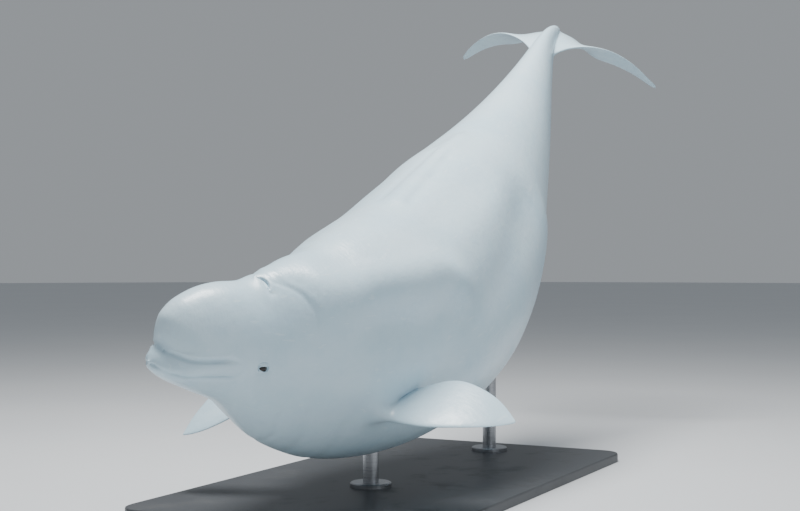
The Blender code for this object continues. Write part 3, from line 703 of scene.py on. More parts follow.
@dataclass(frozen=True)
class SkinFinish:
    """Smooth skin: cool white with faint clouds and scratches; the cool blue is a painted cast of light, and
    the grey in its creases and hollows is painted shade.
    """

    # Painted light: the pale blue of these skin colours is a cast of cool light painted in; the whale's own
    # skin is white.
    light: Colour = (0.60, 0.77, 0.86, 1.0)
    cloud: Colour = (0.47, 0.66, 0.78, 1.0)
    # Painted shade: the dark blue-grey laid into the skin's creases and hollows.
    crease: Colour = (0.20, 0.33, 0.43, 1.0)
    scratch: Colour = (0.72, 0.85, 0.91, 1.0)
    cloud_scale: float = 2.6
    mottle_scale: float = 19.0
    scratch_scale: float = 7.0
    ripple_scale: float = 24.0
    line_scale: float = 16.0
    pore_scale: float = 160.0

    def material(self) -> bpy.types.Material:
        """Builds the material."""
        paint = Paint("whale skin", Roughness=0.4, Coat_Roughness=0.18, Coat_IOR=1.38)
        where = paint.attribute("whale_place", "Vector")
        clouds = paint.between(paint.noise(where, self.cloud_scale, detail=4.0, roughness=0.6),
                               low=0.38, high=0.70)
        mottle = paint.between(paint.noise(where, self.mottle_scale, detail=5.0, roughness=0.62),
                               low=0.42, high=0.75)
        colour = paint.blend(clouds * 0.55 + mottle * 0.25, self.light, self.cloud)
        long = paint.add("ShaderNodeMapping", {}, {"Vector": where, "Scale": (9.0, 1.2, 9.0),
                                                   "Rotation": (0.2, 0.1, 0.25)})
        marks = paint.between(paint.noise(long, self.scratch_scale, detail=2.0, roughness=0.4),
                              low=0.665, high=0.72)
        colour = paint.blend(marks * 0.35, colour, self.scratch)
        # Painted shade: the skin is darkened where it is hollow, in the mouth, creases, lids and blowhole;
        # the same mask also roughens it a little.
        hollow = paint.attribute("hollow")
        colour = paint.blend(hollow * 0.75, colour, self.crease)
        pores = paint.noise(where, self.pore_scale, detail=3.0, roughness=0.6)
        ripple = paint.noise(where, self.ripple_scale, detail=4.0, roughness=0.55)
        rings = paint.add("ShaderNodeMapping", {}, {"Vector": where, "Scale": (1.2, 6.0, 1.2)})
        lines = paint.noise(rings, self.line_scale, detail=3.0, roughness=0.5)
        rough = paint.between(mottle, to_low=0.34, to_high=0.46) + hollow * 0.15
        normal = paint.bump(ripple, distance=0.0035, strength=0.55)
        normal = paint.bump(lines, distance=0.0016, strength=0.5, under=normal)
        normal = paint.bump(pores, distance=0.0004, strength=0.6, under=normal)
        coat = paint.between(clouds, to_low=0.30, to_high=0.18)
        return paint.feed(Base_Color=colour, Roughness=rough, Normal=normal, Coat_Weight=coat)


@dataclass(frozen=True)
class EyeFinish:
    """A glossy, nearly black brown eye with a darker pupil."""

    iris: Colour = (0.012, 0.008, 0.006, 1.0)
    pupil: Colour = (0.003, 0.003, 0.004, 1.0)

    def material(self) -> bpy.types.Material:
        """Builds the material."""
        paint = Paint("whale eye", Roughness=0.12, Specular_IOR_Level=0.30, Coat_Weight=0.4,
                      Coat_Roughness=0.03)
        across = paint.attribute("from_pupil")
        grain = paint.noise(paint.place(), scale=420.0, detail=2.0)
        colour = paint.blend(paint.between(across + grain * 0.12, low=0.36, high=0.46), self.pupil, self.iris)
        return paint.feed(Base_Color=colour)


@dataclass(frozen=True)
class BaseFinish:
    """Matt dark paint with fine orange peel and a little dust."""

    colour: Colour = (0.050, 0.054, 0.060, 1.0)
    dust: Colour = (0.105, 0.108, 0.110, 1.0)

    def material(self) -> bpy.types.Material:
        """Builds the material."""
        paint = Paint("stand paint", Specular_IOR_Level=0.4)
        where = paint.place()
        dust = paint.between(paint.noise(where, scale=5.0, detail=5.0, roughness=0.65), low=0.45, high=0.80)
        colour = paint.blend(dust * 0.5, self.colour, self.dust)
        peel = paint.bump(paint.noise(where, scale=260.0, detail=2.0), distance=0.0003, strength=0.5)
        rough = paint.between(dust, to_low=0.42, to_high=0.58)
        return paint.feed(Base_Color=colour, Roughness=rough, Normal=peel)


@dataclass(frozen=True)
class SteelFinish:
    """Brushed steel whose fine lines run round the rod."""

    colour: Colour = (0.43, 0.44, 0.46, 1.0)
    dark: Colour = (0.33, 0.34, 0.36, 1.0)

    def material(self) -> bpy.types.Material:
        """Builds the material."""
        paint = Paint("stand steel", Metallic=1.0)
        fine = paint.add("ShaderNodeMapping", {}, {"Vector": paint.place(), "Scale": (6.0, 6.0, 900.0)})
        lines = paint.noise(fine, scale=1.0, detail=2.0)
        colour = paint.blend(paint.between(lines, low=0.3, high=0.7), self.dark, self.colour)
        rough = paint.between(lines, low=0.3, high=0.7, to_low=0.26, to_high=0.38)
        return paint.feed(Base_Color=colour, Roughness=rough,
                          Normal=paint.bump(lines, distance=0.0002, strength=0.4))


@dataclass(frozen=True)
class FloorFinish:
    """A plain pale floor."""

    colour: Colour = (0.62, 0.64, 0.66, 1.0)
    shade: Colour = (0.57, 0.59, 0.62, 1.0)

    def material(self) -> bpy.types.Material:
        """Builds the material."""
        paint = Paint("pale floor", Roughness=0.75, Specular_IOR_Level=0.2)
        tone = paint.between(paint.noise(paint.place(), scale=0.8, detail=3.0),
                             low=0.3, high=0.7, to_high=0.25)
        return paint.feed(Base_Color=paint.blend(tone, self.colour, self.shade))


@dataclass(frozen=True)
class Section:
    """One place along a fin: share of its length, front and rear edges, and thickness."""

    share: float
    front: float
    rear: float
    thickness: float


def along_fin(sections: Sequence[Section], share: float) -> tuple[float, float, float]:
    """Front edge, rear edge and thickness of a fin at a share of its length.

    Args:
        sections: The fin's sections.
        share: The share of its length.

    Returns:
        The three sizes.
    """
    shares = [section.share for section in sections]
    held = np.array(max(share, 0.0))
    return tuple(float(monotone(shares, [getattr(section, key) for section in sections], held))
                 for key in ("front", "rear", "thickness"))


@dataclass(frozen=True)
class Fin:
    """A fin's own sizes, which both sides share."""

    sections: tuple[Section, ...]
    levels: tuple[float, ...]
    first_y: float
    last_y: float
    middle_column: int

    FRONT_FULLNESS = 1.25
    REAR_TAPER = 0.62

    def section_point(self, level: float, turn: float, rim: bool) -> tuple[float, float]:
        """A point of the fin's section.

        Args:
            level: Share of the fin's length.
            turn: Angle round the section, 0 at the front edge and 180 degrees at the rear.
            rim: False for a point inside the tip's cap.

        Returns:
            Its place back of the fin's line and its height over the blade.
        """
        front, rear, thickness = along_fin(self.sections, level)
        along = (1 - math.cos(turn)) / 2
        height = math.sin(turn) * (self.FRONT_FULLNESS - self.REAR_TAPER * along) * thickness / 2
        return front + along * (rear - front), height if rim else 0.0


@dataclass(frozen=True)
class Flipper(Fin):
    """A flipper's sizes."""

    length: float = 0.43
    root: tuple[float, float, float] = (0.300, 0.890, -0.226)

    def point(self, side: Side, pose: "FlipperPose", level: float, turn: float, rim: bool) -> Array:
        """A point of the posed flipper on the straight whale.

        Args:
            side: The whale's left or right.
            pose: The flipper's pose.
            level: Share of its length.
            turn: Angle round the section.
            rim: False for a point inside the tip's cap.

        Returns:
            The point.
        """
        sweep, droop, twist, curl = (math.radians(value) for value in
                                     (pose.sweep, pose.droop, pose.twist, pose.curl))
        out = np.array([math.cos(sweep) * math.cos(droop), math.sin(sweep) * math.cos(droop),
                        -math.sin(droop)])
        back = np.array([-math.sin(sweep), math.cos(sweep), 0.0])
        up = np.cross(out, back)
        back, up = (back * math.cos(twist) + up * math.sin(twist),
                    up * math.cos(twist) - back * math.sin(twist))
        along, height = self.section_point(level, turn, rim)
        lift = 0.5 * curl * self.length * max(level, 0.0) ** 3
        line = np.array(self.root) + out * level * self.length + up * lift
        return (line + back * along + up * height) * side.mirror


@dataclass(frozen=True)
class FlipperPose:
    """A flipper's sweep back, droop, twist of its blade and curl of its tip, in degrees."""

    sweep: float
    droop: float
    twist: float
    curl: float


@dataclass(frozen=True)
class Fluke(Fin):
    """A fluke's sizes."""

    span: float = 0.56
    droop: float = 0.235
    line_y: float = 3.885
    twist: tuple[tuple[float, ...], tuple[float, ...]] = ((0.0, 0.15, 0.40, 1.0), (0.0, -6.0, -27.0, -36.0))
    arch: tuple[float, float] = (0.008, 0.030)
    root_x: float = 0.012
    droop_power: float = 2.5

    def point(self, side: Side, level: float, turn: float, rim: bool) -> Array:
        """A point of the fluke on the straight whale.

        Args:
            side: The whale's left or right.
            level: Share of its length.
            turn: Angle round the section.
            rim: False for a point inside the tip's cap.

        Returns:
            The point.
        """
        held = max(level, 0.0)
        along, height = self.section_point(held, turn, rim)
        front = along_fin(self.sections, held)[0]
        twist = math.radians(float(monotone(*self.twist, np.array(held))))
        run = along - front
        lift = self.arch[side is Side.RIGHT] * math.sin(math.pi * held) - self.droop * held**self.droop_power
        return np.array([side.value * (self.root_x + held * self.span),
                         self.line_y + front + run * math.cos(twist),
                         height + lift + run * math.sin(twist)])


FLIPPER = Flipper(
    sections=(Section(0.00, -0.070, 0.080, 0.046), Section(0.20, -0.100, 0.108, 0.0365),
              Section(0.45, -0.118, 0.128, 0.0278), Section(0.70, -0.106, 0.088, 0.0195),
              Section(0.88, -0.078, 0.034, 0.0130), Section(0.97, -0.052, -0.014, 0.0080),
              Section(1.00, -0.040, -0.030, 0.0060)),
    levels=(0.0, 0.08, 0.17, 0.28, 0.40, 0.52, 0.64, 0.76, 0.86, 0.93, 0.975, 1.0),
    first_y=0.80, last_y=0.99, middle_column=13)
LEFT_POSE = FlipperPose(11.0, -17.0, 28.0, -30.0)
RIGHT_POSE = FlipperPose(-39.0, 39.0, 25.0, -4.0)
FLUKE = Fluke(
    sections=(Section(0.00, -0.235, 0.165, 0.052), Section(0.08, -0.190, 0.200, 0.040),
              Section(0.18, -0.110, 0.222, 0.031), Section(0.38, -0.010, 0.246, 0.024),
              Section(0.65, 0.105, 0.270, 0.0165), Section(0.85, 0.200, 0.302, 0.010),
              Section(0.96, 0.268, 0.330, 0.0065), Section(1.00, 0.302, 0.332, 0.0052)),
    levels=(0.06, 0.12, 0.19, 0.28, 0.38, 0.48, 0.58, 0.68, 0.78, 0.87, 0.93, 0.97, 1.0),
    first_y=3.62, last_y=4.045, middle_column=10)


@dataclass(frozen=True)
class Crease:
    """A fine ridge or valley along a path of distances back and angles, on one side or both."""

    path: tuple[tuple[float, float], ...]
    height: float
    width: float
    sides: tuple[Side, ...] = (Side.LEFT, Side.RIGHT)


CREASES = (
    Crease(NECK_ARC, -0.0022, 0.0065),
    Crease(((0.42, 10), (0.45, 26), (0.50, 40), (0.55, 56)), 0.0016, 0.0120),
    Crease(((0.262, 98), (0.272, 104), (0.272, 110)), -0.0012, 0.0150),
    Crease(((0.60, 120), (0.63, 140), (0.64, 165)), -0.0040, 0.0180),
    Crease(((0.50, 128), (0.53, 148), (0.535, 175)), -0.0032, 0.0150),
    Crease(((0.74, 126), (0.76, 146), (0.77, 172)), -0.0038, 0.0200),
    Crease(((1.38, 9), (1.60, 8), (1.80, 7), (2.02, 6)), -0.0060, 0.0150),
    Crease(((1.66, 6), (1.72, 11)), -0.0050, 0.0100, (Side.LEFT,)),
    Crease(((1.88, 5), (1.93, 10)), -0.0050, 0.0100, (Side.LEFT,)),
)


@dataclass(frozen=True)
class Patch:
    """A block of the cage's faces that is worked further: its mark, middle and least size in faces."""

    mark: int
    y: float
    angle: float
    least_rings: int
    least_columns: int


@dataclass
class WhaleSkin:
    """The whale's whole skin as one mesh."""

    form: BodyForm
    spine: Spine
    face: Face
    sides: int = 40
    head_step: float = 0.0165
    root_step: float = 0.040
    trunk_step: float = 0.058
    tail_step: float = 0.046
    smoothing: int = 2
    fillet_passes: int = 12
    numbers: Array = field(init=False)
    angles: Array = field(init=False)
    eye_patches: dict[Side, Patch] = field(init=False)
    blowhole_patch: Patch = field(init=False)

    FIN_STRIDE = 10.0
    MELON_FOOT, CREASE, LIP_TOP, LIP, LIP_EDGE, MOUTH, LOWER_LIP, CHIN = 9, 10, 11, 12, 13, 14, 15, 16

    # Rings and columns of the cage.
    LEAST_GAP = 3.0
    FINE_RINGS = 3000
    STEP_PLACES = (0, 0.46, 0.78, 1.02, 1.35, 2.6, 3.6, 4.3)
    HEAD_END = (0.275, 0.470)
    ROOT_REACH = 0.17
    ROOT_PULL = 0.45
    ROOT_COLUMNS = 22.0
    FOOT_GAP, LIP_TOP_GAP, LIP_GAP, CHIN_GAP = 0.012, 0.011, 0.0070, 0.022
    LIP_BLEND = (0.45, 0.55)
    EYE_SIDE = 95.0
    EYE_PATCH = (8, 3)
    BLOWHOLE_PATCH = (4, 4)
    FIN_DIVIDE_Y = 2.0
    TUBE_LIMIT = 2.0
    TUBE_RADIUS = 0.999
    CAP_BULGE = 0.006

    # Heights of the lips' columns, and where they fade in and out.
    LIP_HEIGHTS = {MELON_FOOT: 0.0055, CREASE: -0.0120, LIP_TOP: 0.0065, LIP: 0.0060}
    MOUTH_HEIGHTS = {LIP_EDGE: 0.0026, MOUTH: -0.010, LOWER_LIP: 0.0024, CHIN: 0.0015}
    MOUTH_FADE = (-0.035, 0.004)
    CREASE_FADE = (-0.06, 0.02)
    CREASE_RISE = (0.030, 0.075)
    LIPS_PAST_MOUTH = 0.02
    LINE_HOLD = (0.014, 0.030)
    BEAK_AHEAD = 0.10
    BEAK_LENGTH = 0.12
    LIP_RISE = 0.3

    # Loops of the eyes and the blowhole.
    INSET = 0.001
    BLOWHOLE_STEP = (0.03, 8.0)

    # Rounding of the fins' roots and of the beak's tip.
    FLUKE_ROOT = (0.060, 0.040)
    FLUKE_ROOT_START = (3.55, 3.65)
    FLUKE_ROOT_END = (4.02, 4.08)
    FLIPPER_REACH = 0.13
    FLIPPER_LEAST_X = 0.2
    BEAK_TIP = (0.030, 0.060)
    FILLET_PULL = 0.6
    FILLET_LEAST = 0.001

    # Grooves by start, depth and width, ears by height and width of rim and pit, and lid folds by half
    # width, half height, depth and side, over the eye or under it.
    MOUTH_GROOVE = (0.006, 0.0035, 0.0040)
    CREASE_GROOVE = (0.029, 0.0035, 0.0060)
    GROOVE_STATIONS = (0.3, 8.6, 44)
    GROOVE_FADE = 0.060
    EAR_RIM = (0.0015, 0.012)
    EAR_PIT = (0.0050, 0.0045)
    LID_FOLDS = ((0.029, 0.023, 0.0018, 1), (0.034, 0.028, 0.0010, -1), (0.043, 0.040, 0.0008, -1))
    LID_REACH = 0.075
    LID_WIDTH = 0.11
    PATH_REACH = 0.15
    PATH_STEPS = 8
    HOLLOW_CURVES = (25.0, 160.0)
    HOLLOW_END = (0.9, 1.2)

    def __post_init__(self) -> None:
        """Works out the cage's rings and columns, and which of its faces make the eyes and the blowhole."""
        self.numbers = self.ring_numbers()
        self.angles = self.column_angles()
        eye = SkinPlace.of_eye(self.form, self.face, Side.LEFT).point
        number = self.form.number_at(eye[1], self.EYE_SIDE)
        angle = self.form.angle_at(lambda _: eye[2], number, *self.form.SIDE_ANGLES)
        self.eye_patches = {Side.LEFT: Patch(1, eye[1], angle, *self.EYE_PATCH),
                            Side.RIGHT: Patch(2, eye[1], -angle, *self.EYE_PATCH)}
        self.blowhole_patch = Patch(3, self.face.blowhole_y, self.face.blowhole_angle, *self.BLOWHOLE_PATCH)

    def ring_numbers(self) -> Array:
        """Station numbers of the cage's rings, close on the head and wider on the trunk."""
        fine = np.linspace(0, self.form.last, self.FINE_RINGS)
        rail = self.form.rails_at(fine)
        moved = np.maximum.reduce([
            np.hypot(np.diff(rail[:, 0]), np.diff(rail[:, 1])),
            np.sqrt(np.diff(rail[:, 2]) ** 2 + np.diff(rail[:, 3]) ** 2 + np.diff(rail[:, 4]) ** 2),
            np.hypot(np.diff(rail[:, 5]), np.diff(rail[:, 6]))])
        steps = np.repeat([self.head_step, self.root_step, self.trunk_step, self.tail_step], 2)
        step = monotone(self.STEP_PLACES, steps, rail[1:, 2])
        travelled = np.concatenate([[0], np.cumsum(moved / step)])
        count = int(round(travelled[-1])) + 1
        return np.interp(np.linspace(0, travelled[-1], count), travelled, fine)

    def column_angles(self) -> Array:
        """Angle of each column on the left at each ring: on the head the columns follow mouth and lips."""
        half = np.arange(self.sides // 2 + 1)
        even = half * 360.0 / self.sides
        rows = []
        for number in self.numbers:
            rail = self.form.rails_at(number)
            head = 1 - smoothstep(*self.HEAD_END, rail[2])
            root = math.exp(-((rail[2] - self.root_middle()) / self.ROOT_REACH) ** 2)
            offset = even - even[FLIPPER.middle_column]
            row = even - offset * self.ROOT_PULL * root * np.exp(-((offset / self.ROOT_COLUMNS) ** 2))
            if head > 0:
                lines = {
                    self.MELON_FOOT: lambda y: self.face.crease_z(y) + self.FOOT_GAP,
                    self.CREASE: self.face.crease_z,
                    self.LIP_TOP: lambda y: self.face.crease_z(y) - self.LIP_TOP_GAP,
                    self.LIP: lambda y: (self.LIP_BLEND[0] * self.face.crease_z(y)
                                         + self.LIP_BLEND[1] * self.face.mouth_z(y)),
                    self.LIP_EDGE: lambda y: self.face.mouth_z(y) + self.LIP_GAP,
                    self.MOUTH: self.face.mouth_z,
                    self.LOWER_LIP: lambda y: self.face.mouth_z(y) - self.LIP_GAP,
                    self.CHIN: lambda y: self.face.mouth_z(y) - self.CHIN_GAP}
                found = {k: self.form.angle_at(line, number, *self.form.HEAD_ANGLES)
                         for k, line in lines.items()}
                stops = [0, *found, half[-1]]
                led = np.interp(half, stops, [0.0, *found.values(), 180.0])
                for k in half[1:-1]:
                    led[k] = max(led[k], led[k - 1] + self.LEAST_GAP)
                for k in half[-2:0:-1]:
                    led[k] = min(led[k], led[k + 1] - self.LEAST_GAP)
                row = row * (1 - head) + led * head
            rows.append(row)
        return np.array(rows)

    @staticmethod
    def root_middle() -> float:
        """Distance back of the flippers' roots."""
        return (FLIPPER.first_y + FLIPPER.last_y) / 2

    def block_out(self) -> bpy.types.Object:
        """The cage before it is shaped: a tube of unit radius and unit ring steps, with its fins extruded."""
        Bench.clear()
        bpy.ops.mesh.primitive_circle_add(vertices=self.sides, radius=1.0, fill_type="NOTHING",
                                          rotation=(math.pi / 2, 0, 0))
        made = Bench.named("whale_skin")
        last = float(len(self.numbers) - 1)
        with Bench.editing(made, "EDGE"):
            bpy.ops.mesh.select_all(action="SELECT")
            for _ in range(int(last)):
                bpy.ops.mesh.extrude_region_move(TRANSFORM_OT_translate={"value": (0, 1, 0)})
            quarter = self.sides // 4
            for end in (last, 0.0):
                Bench.pick(made, "edges", lambda edge: all(abs(vert.co.y - end) < 0.1 for vert in edge.verts))
                bpy.ops.mesh.fill_grid(span=quarter, offset=quarter // 2 - 1)
            bpy.ops.mesh.select_all(action="SELECT")
            bpy.ops.mesh.normals_make_consistent(inside=False)
            bpy.ops.mesh.select_mode(type="FACE")
            for patch in (*self.eye_patches.values(), self.blowhole_patch):
                self.mark_patch(made, patch)
            for fin in (FLIPPER, FLUKE):
                for side in Side:
                    self.extrude_fin(made, fin, side)
        return made

    def mark_patch(self, made: bpy.types.Object, patch: Patch) -> None:
        """Gives the faces of a patch its mark as their material number.

        Args:
            made: The skin's object.
            patch: The patch.
        """
        side_y = self.form.point(self.numbers, abs(patch.angle))[:, 1]
        ring = float(np.interp(patch.y, side_y, np.arange(len(side_y))))
        row = self.angles[int(round(ring))]
        column = math.copysign(float(np.interp(abs(patch.angle), row, np.arange(len(row)))), patch.angle)

        def span(middle: float, least: int) -> tuple[float, float]:
            """First and last line of a block of at least so many faces that is centred best."""
            size = min((least, least + 1), key=lambda n: abs(middle - n / 2 - round(middle - n / 2)))
            first = round(middle - size / 2)
            return first, first + size

        rings, columns = span(ring, patch.least_rings), span(column, patch.least_columns)
        shape = bmesh.from_edit_mesh(made.data)
        for face in shape.faces:
            middle = face.calc_center_median()
            around = math.degrees(math.atan2(middle.x, middle.z)) * self.sides / 360.0
            inside = rings[0] < middle.y < rings[1] and columns[0] < around < columns[1]
            if abs(middle.x) < self.TUBE_LIMIT and inside:
                face.material_index = patch.mark
        bmesh.update_edit_mesh(made.data)

    def fin_rings(self, fin: Fin) -> tuple[int, int]:
        """First and last ring of a fin's root."""
        side_y = self.form.rails_at(self.numbers)[:, 2]
        return int(np.argmin(abs(side_y - fin.first_y))), int(np.argmin(abs(side_y - fin.last_y)))

    def extrude_fin(self, made: bpy.types.Object, fin: Fin, side: Side) -> None:
        """Extrudes the faces of a fin's root once for each of its levels.

        Args:
            made: The skin's object.
            fin: The fin's sizes.
            side: The whale's left or right.
        """
        first, last = self.fin_rings(fin)

        def at_root(face: bmesh.types.BMFace) -> bool:
            """Whether a face of the tube belongs to the fin's root."""
            middle = face.calc_center_median()
            column = math.degrees(math.atan2(side.value * middle.x, middle.z)) * self.sides / 360.0
            beside = abs(column - fin.middle_column) < 1.0
            return first < middle.y < last and beside and abs(middle.x) < self.TUBE_LIMIT

        Bench.pick(made, "faces", at_root)
        for _ in fin.levels:
            bpy.ops.mesh.extrude_region_move(
                TRANSFORM_OT_translate={"value": (side.value * self.FIN_STRIDE, 0, 0)})

    def shape(self, made: bpy.types.Object) -> None:
        """Moves the blocked-out points to the straight whale's form.

        Args:
            made: The skin's object.
        """
        flat = Bench.points(made)
        level = np.floor((np.abs(flat[:, 0]) + self.FIN_STRIDE / 2) / self.FIN_STRIDE).astype(int)
        x = flat[:, 0] - np.sign(flat[:, 0]) * level * self.FIN_STRIDE
        radius = np.hypot(x, flat[:, 2])
        turned = np.degrees(np.arctan2(x, flat[:, 2])) % 360.0
        ring = np.round(flat[:, 1]).astype(int)
        column = turned * self.sides / 360.0
        shaped = np.zeros_like(flat)
        on_tube = (level == 0) & (radius > self.TUBE_RADIUS)
        near = np.round(column[on_tube]).astype(int) % self.sides
        shaped[on_tube] = self.form.point(self.numbers[ring[on_tube]], self.angle_of(ring[on_tube], near))
        for i in np.nonzero((level == 0) & (radius <= self.TUBE_RADIUS))[0]:
            shaped[i] = self.cap_point(ring[i], column[i], radius[i])
        for i in np.nonzero(level > 0)[0]:
            side = Side(int(np.sign(flat[i, 0])))
            shaped[i] = self.fin_point(side, level[i], ring[i], column[i])
        self.lips(shaped, ring, column, on_tube)
        Bench.set_points(made, shaped)

    def angle_of(self, ring: Array, column: Array) -> Array:
        """Angle of columns counted all the way round, where those past the belly mirror the left.

        Args:
            ring: Ring numbers.
            column: Column numbers.

        Returns:
            The angles in degrees.
        """
        half = self.sides // 2
        left = np.where(column <= half, column, self.sides - column)
        angle = self.angles[ring, left]
        return np.where(column <= half, angle, 360.0 - angle)

    def cap_point(self, ring: int, column: float, radius: float) -> Array:
        """A point of the beak's or the notch's rounded end.

        Args:
            ring: The first or the last ring.
            column: The point's column, which may lie between two.
            radius: Its share of the way out to the ring.

        Returns:
            The point.
        """
        low = int(math.floor(column)) % self.sides
        part = column - math.floor(column)
        around = self.form.point(self.numbers[ring], self.angle_of(
            np.full(self.sides, ring), np.arange(self.sides)))
        edge = around[low] * (1 - part) + around[(low + 1) % self.sides] * part
        middle = around.mean(axis=0)
        outward = -1.0 if ring == 0 else 1.0
        bulge = outward * self.CAP_BULGE * (1 - radius * radius)
        return middle + (edge - middle) * radius + np.array([0, bulge, 0])

    def fin_point(self, side: Side, level: int, ring: int, column: float) -> Array:
        """A point of a fin from its blocked-out level, ring and column.

        Args:
            side: The whale's left or right.
            level: The extrusion's number, from 1.
            ring: The ring's number.
            column: The column's number.

        Returns:
            The point.
        """
        fin = FLIPPER if self.form.rails_at(self.numbers[ring])[2] < self.FIN_DIVIDE_Y else FLUKE
        first, last = self.fin_rings(fin)
        around = column if side is Side.LEFT else self.sides - column
        across = int(round(around)) - fin.middle_column
        stops = last - first + 2
        turn = math.pi * (ring - first + 1) / stops
        if across == 0 and ring in (first, last):
            turn = 0.0 if ring == first else math.pi
        rim = across != 0 or ring in (first, last)
        share = fin.levels[level - 1]
        turn = turn if across <= 0 else -turn
        if isinstance(fin, Flipper):
            return fin.point(side, LEFT_POSE if side is Side.LEFT else RIGHT_POSE, share, turn, rim)
        return fin.point(side, share, turn, rim)

    def lips(self, shaped: Array, ring: Array, column: Array, on_tube: Array) -> None:
        """Sinks the mouth's line and the crease over the lip, and rounds the lips between them.

        Args:
            shaped: The cage's points, which are moved in place.
            ring: Their ring numbers.
            column: Their columns.
            on_tube: True for the points of the body's tube.
        """
        half = self.sides / 2
        left = np.where(column <= half, column, self.sides - column)
        middle_z = self.form.rails_at(self.numbers[np.clip(ring, 0, len(self.numbers) - 1)])[:, 4]
        y, z = shaped[:, 1], shaped[:, 2]
        mouth = 1 - smoothstep(*(self.face.mouth_end + reach for reach in self.MOUTH_FADE), y)
        crease = 1 - smoothstep(*(self.face.crease_end + reach for reach in self.CREASE_FADE), y)
        crease *= smoothstep(*self.CREASE_RISE, y)
        moves = {k: height * crease for k, height in self.LIP_HEIGHTS.items()}
        moves |= {k: height * mouth for k, height in self.MOUTH_HEIGHTS.items()}
        marks = {self.MELON_FOOT: self.face.crease_z, self.CREASE: self.face.crease_z,
                 self.LIP_TOP: self.face.crease_z, self.MOUTH: self.face.mouth_z}
        for k, move in moves.items():
            chosen = on_tube & (np.abs(left - k) < 0.2) & (y < self.face.mouth_end + self.LIPS_PAST_MOUTH)
            ahead = -self.BEAK_AHEAD * (1 - smoothstep(0.0, self.BEAK_LENGTH, y[chosen]))
            out = np.stack([shaped[chosen, 0], ahead, (z[chosen] - middle_z[chosen]) * self.LIP_RISE], -1)
            out /= np.linalg.norm(out, axis=1)[:, None]
            held = np.ones(chosen.sum())
            if k in marks:
                line = np.array([marks[k](float(value)) for value in y[chosen]])
                held = 1 - smoothstep(*self.LINE_HOLD, np.abs(z[chosen] - line))
            shaped[chosen] += out * (move[chosen] * held)[:, None]

    def work_eye(self, made: bpy.types.Object, side: Side) -> None:
        """Works the orbit and the lids into the cage round one eye, loop by loop.

        Args:
            made: The skin's object.
            side: The whale's left or right.
        """
        place = SkinPlace.of_eye(self.form, self.face, side)
        ball = self.face.eye_radius
        sink = self.face.eye_sink

        def over_ball(along: float, rise: float, clear: float) -> float:
            """Height of a shell round the eyeball over the skin's point."""
            return math.sqrt(max((ball + clear) ** 2 - along**2 - rise**2, 0.0)) - sink

        def loop(wide: float, tall_up: float, tall_down: float,
                 height: Callable[[float, float], float]) -> Callable[[float], Array]:
            """An almond loop round the eye: its half sizes and its height over the skin's point."""
            def at(turn: float) -> Array:
                """The loop's point at an angle."""
                along = wide * math.cos(turn)
                rise = (tall_up if math.sin(turn) > 0 else tall_down) * math.sin(turn)
                return (place.point + place.forward * along + place.up * rise
                        + place.out * height(along, rise))
            return at

        self.work_loops(made, self.eye_patches[side], place, (
            loop(0.0280, 0.0245, 0.0225, lambda a, r: 0.0012),
            loop(0.0255, 0.0205, 0.0180, lambda a, r: 0.0022),
            loop(0.0230, 0.0160, 0.0140, lambda a, r: over_ball(a, r, 0.0034)),
            loop(0.0196, 0.0112, 0.0100, lambda a, r: over_ball(a, r, 0.0032)),
            loop(0.0172, 0.0090, 0.0084, lambda a, r: over_ball(a, r, 0.0010)),
            loop(0.0176, 0.0096, 0.0090, lambda a, r: over_ball(a, r, -0.0030))))

    def work_loops(self, made: bpy.types.Object, patch: Patch, place: SkinPlace,
                   loops: Sequence[Callable[[float], Array]]) -> None:
        """Insets a patch once for each loop and moves its rim there.

        Args:
            made: The skin's object.
            patch: The patch.
            place: The loops' middle and directions.
            loops: The loops from the outside in, each as its point at an angle.
        """
        with Bench.editing(made, "FACE"):
            Bench.pick(made, "faces", lambda face: face.material_index == patch.mark)
            for at in loops:
                bpy.ops.mesh.inset(thickness=self.INSET, use_boundary=True)
                self.move_rim(made, place, at)

    @staticmethod
    def move_rim(made: bpy.types.Object, place: SkinPlace, at: Callable[[float], Array]) -> None:
        """Moves the rim of the selected faces onto a loop, and what is inside it in proportion.

        Args:
            made: The skin's object.
            place: The loop's middle and directions.
            at: The loop's point at an angle.
        """
        shape = bmesh.from_edit_mesh(made.data)
        faces = [face for face in shape.faces if face.select]
        every = {vert for face in faces for vert in face.verts}
        rim = {vert for vert in every if any(not face.select for face in vert.link_faces)}
        forward, up = Vector(place.forward), Vector(place.up)
        middle = sum((vert.co for vert in rim), Vector()) / len(rim)
        before = sum((vert.co - middle).length for vert in rim) / len(rim)
        turns = sorted(((math.atan2((vert.co - middle).dot(up), (vert.co - middle).dot(forward)), vert)
                        for vert in rim), key=lambda pair: pair[0])
        even = [math.tau * i / len(turns) for i in range(len(turns))]
        start = sum(turn - step for (turn, _), step in zip(turns, even)) / len(turns)
        for (turn, vert), step in zip(turns, even):
            vert.co = at((turn + start + step) / 2)
        moved = sum((vert.co for vert in rim), Vector()) / len(rim)
        after = sum((vert.co - moved).length for vert in rim) / len(rim)
        for vert in every - rim:
            vert.co = moved + (vert.co - middle) * (after / before)
        bmesh.update_edit_mesh(made.data)

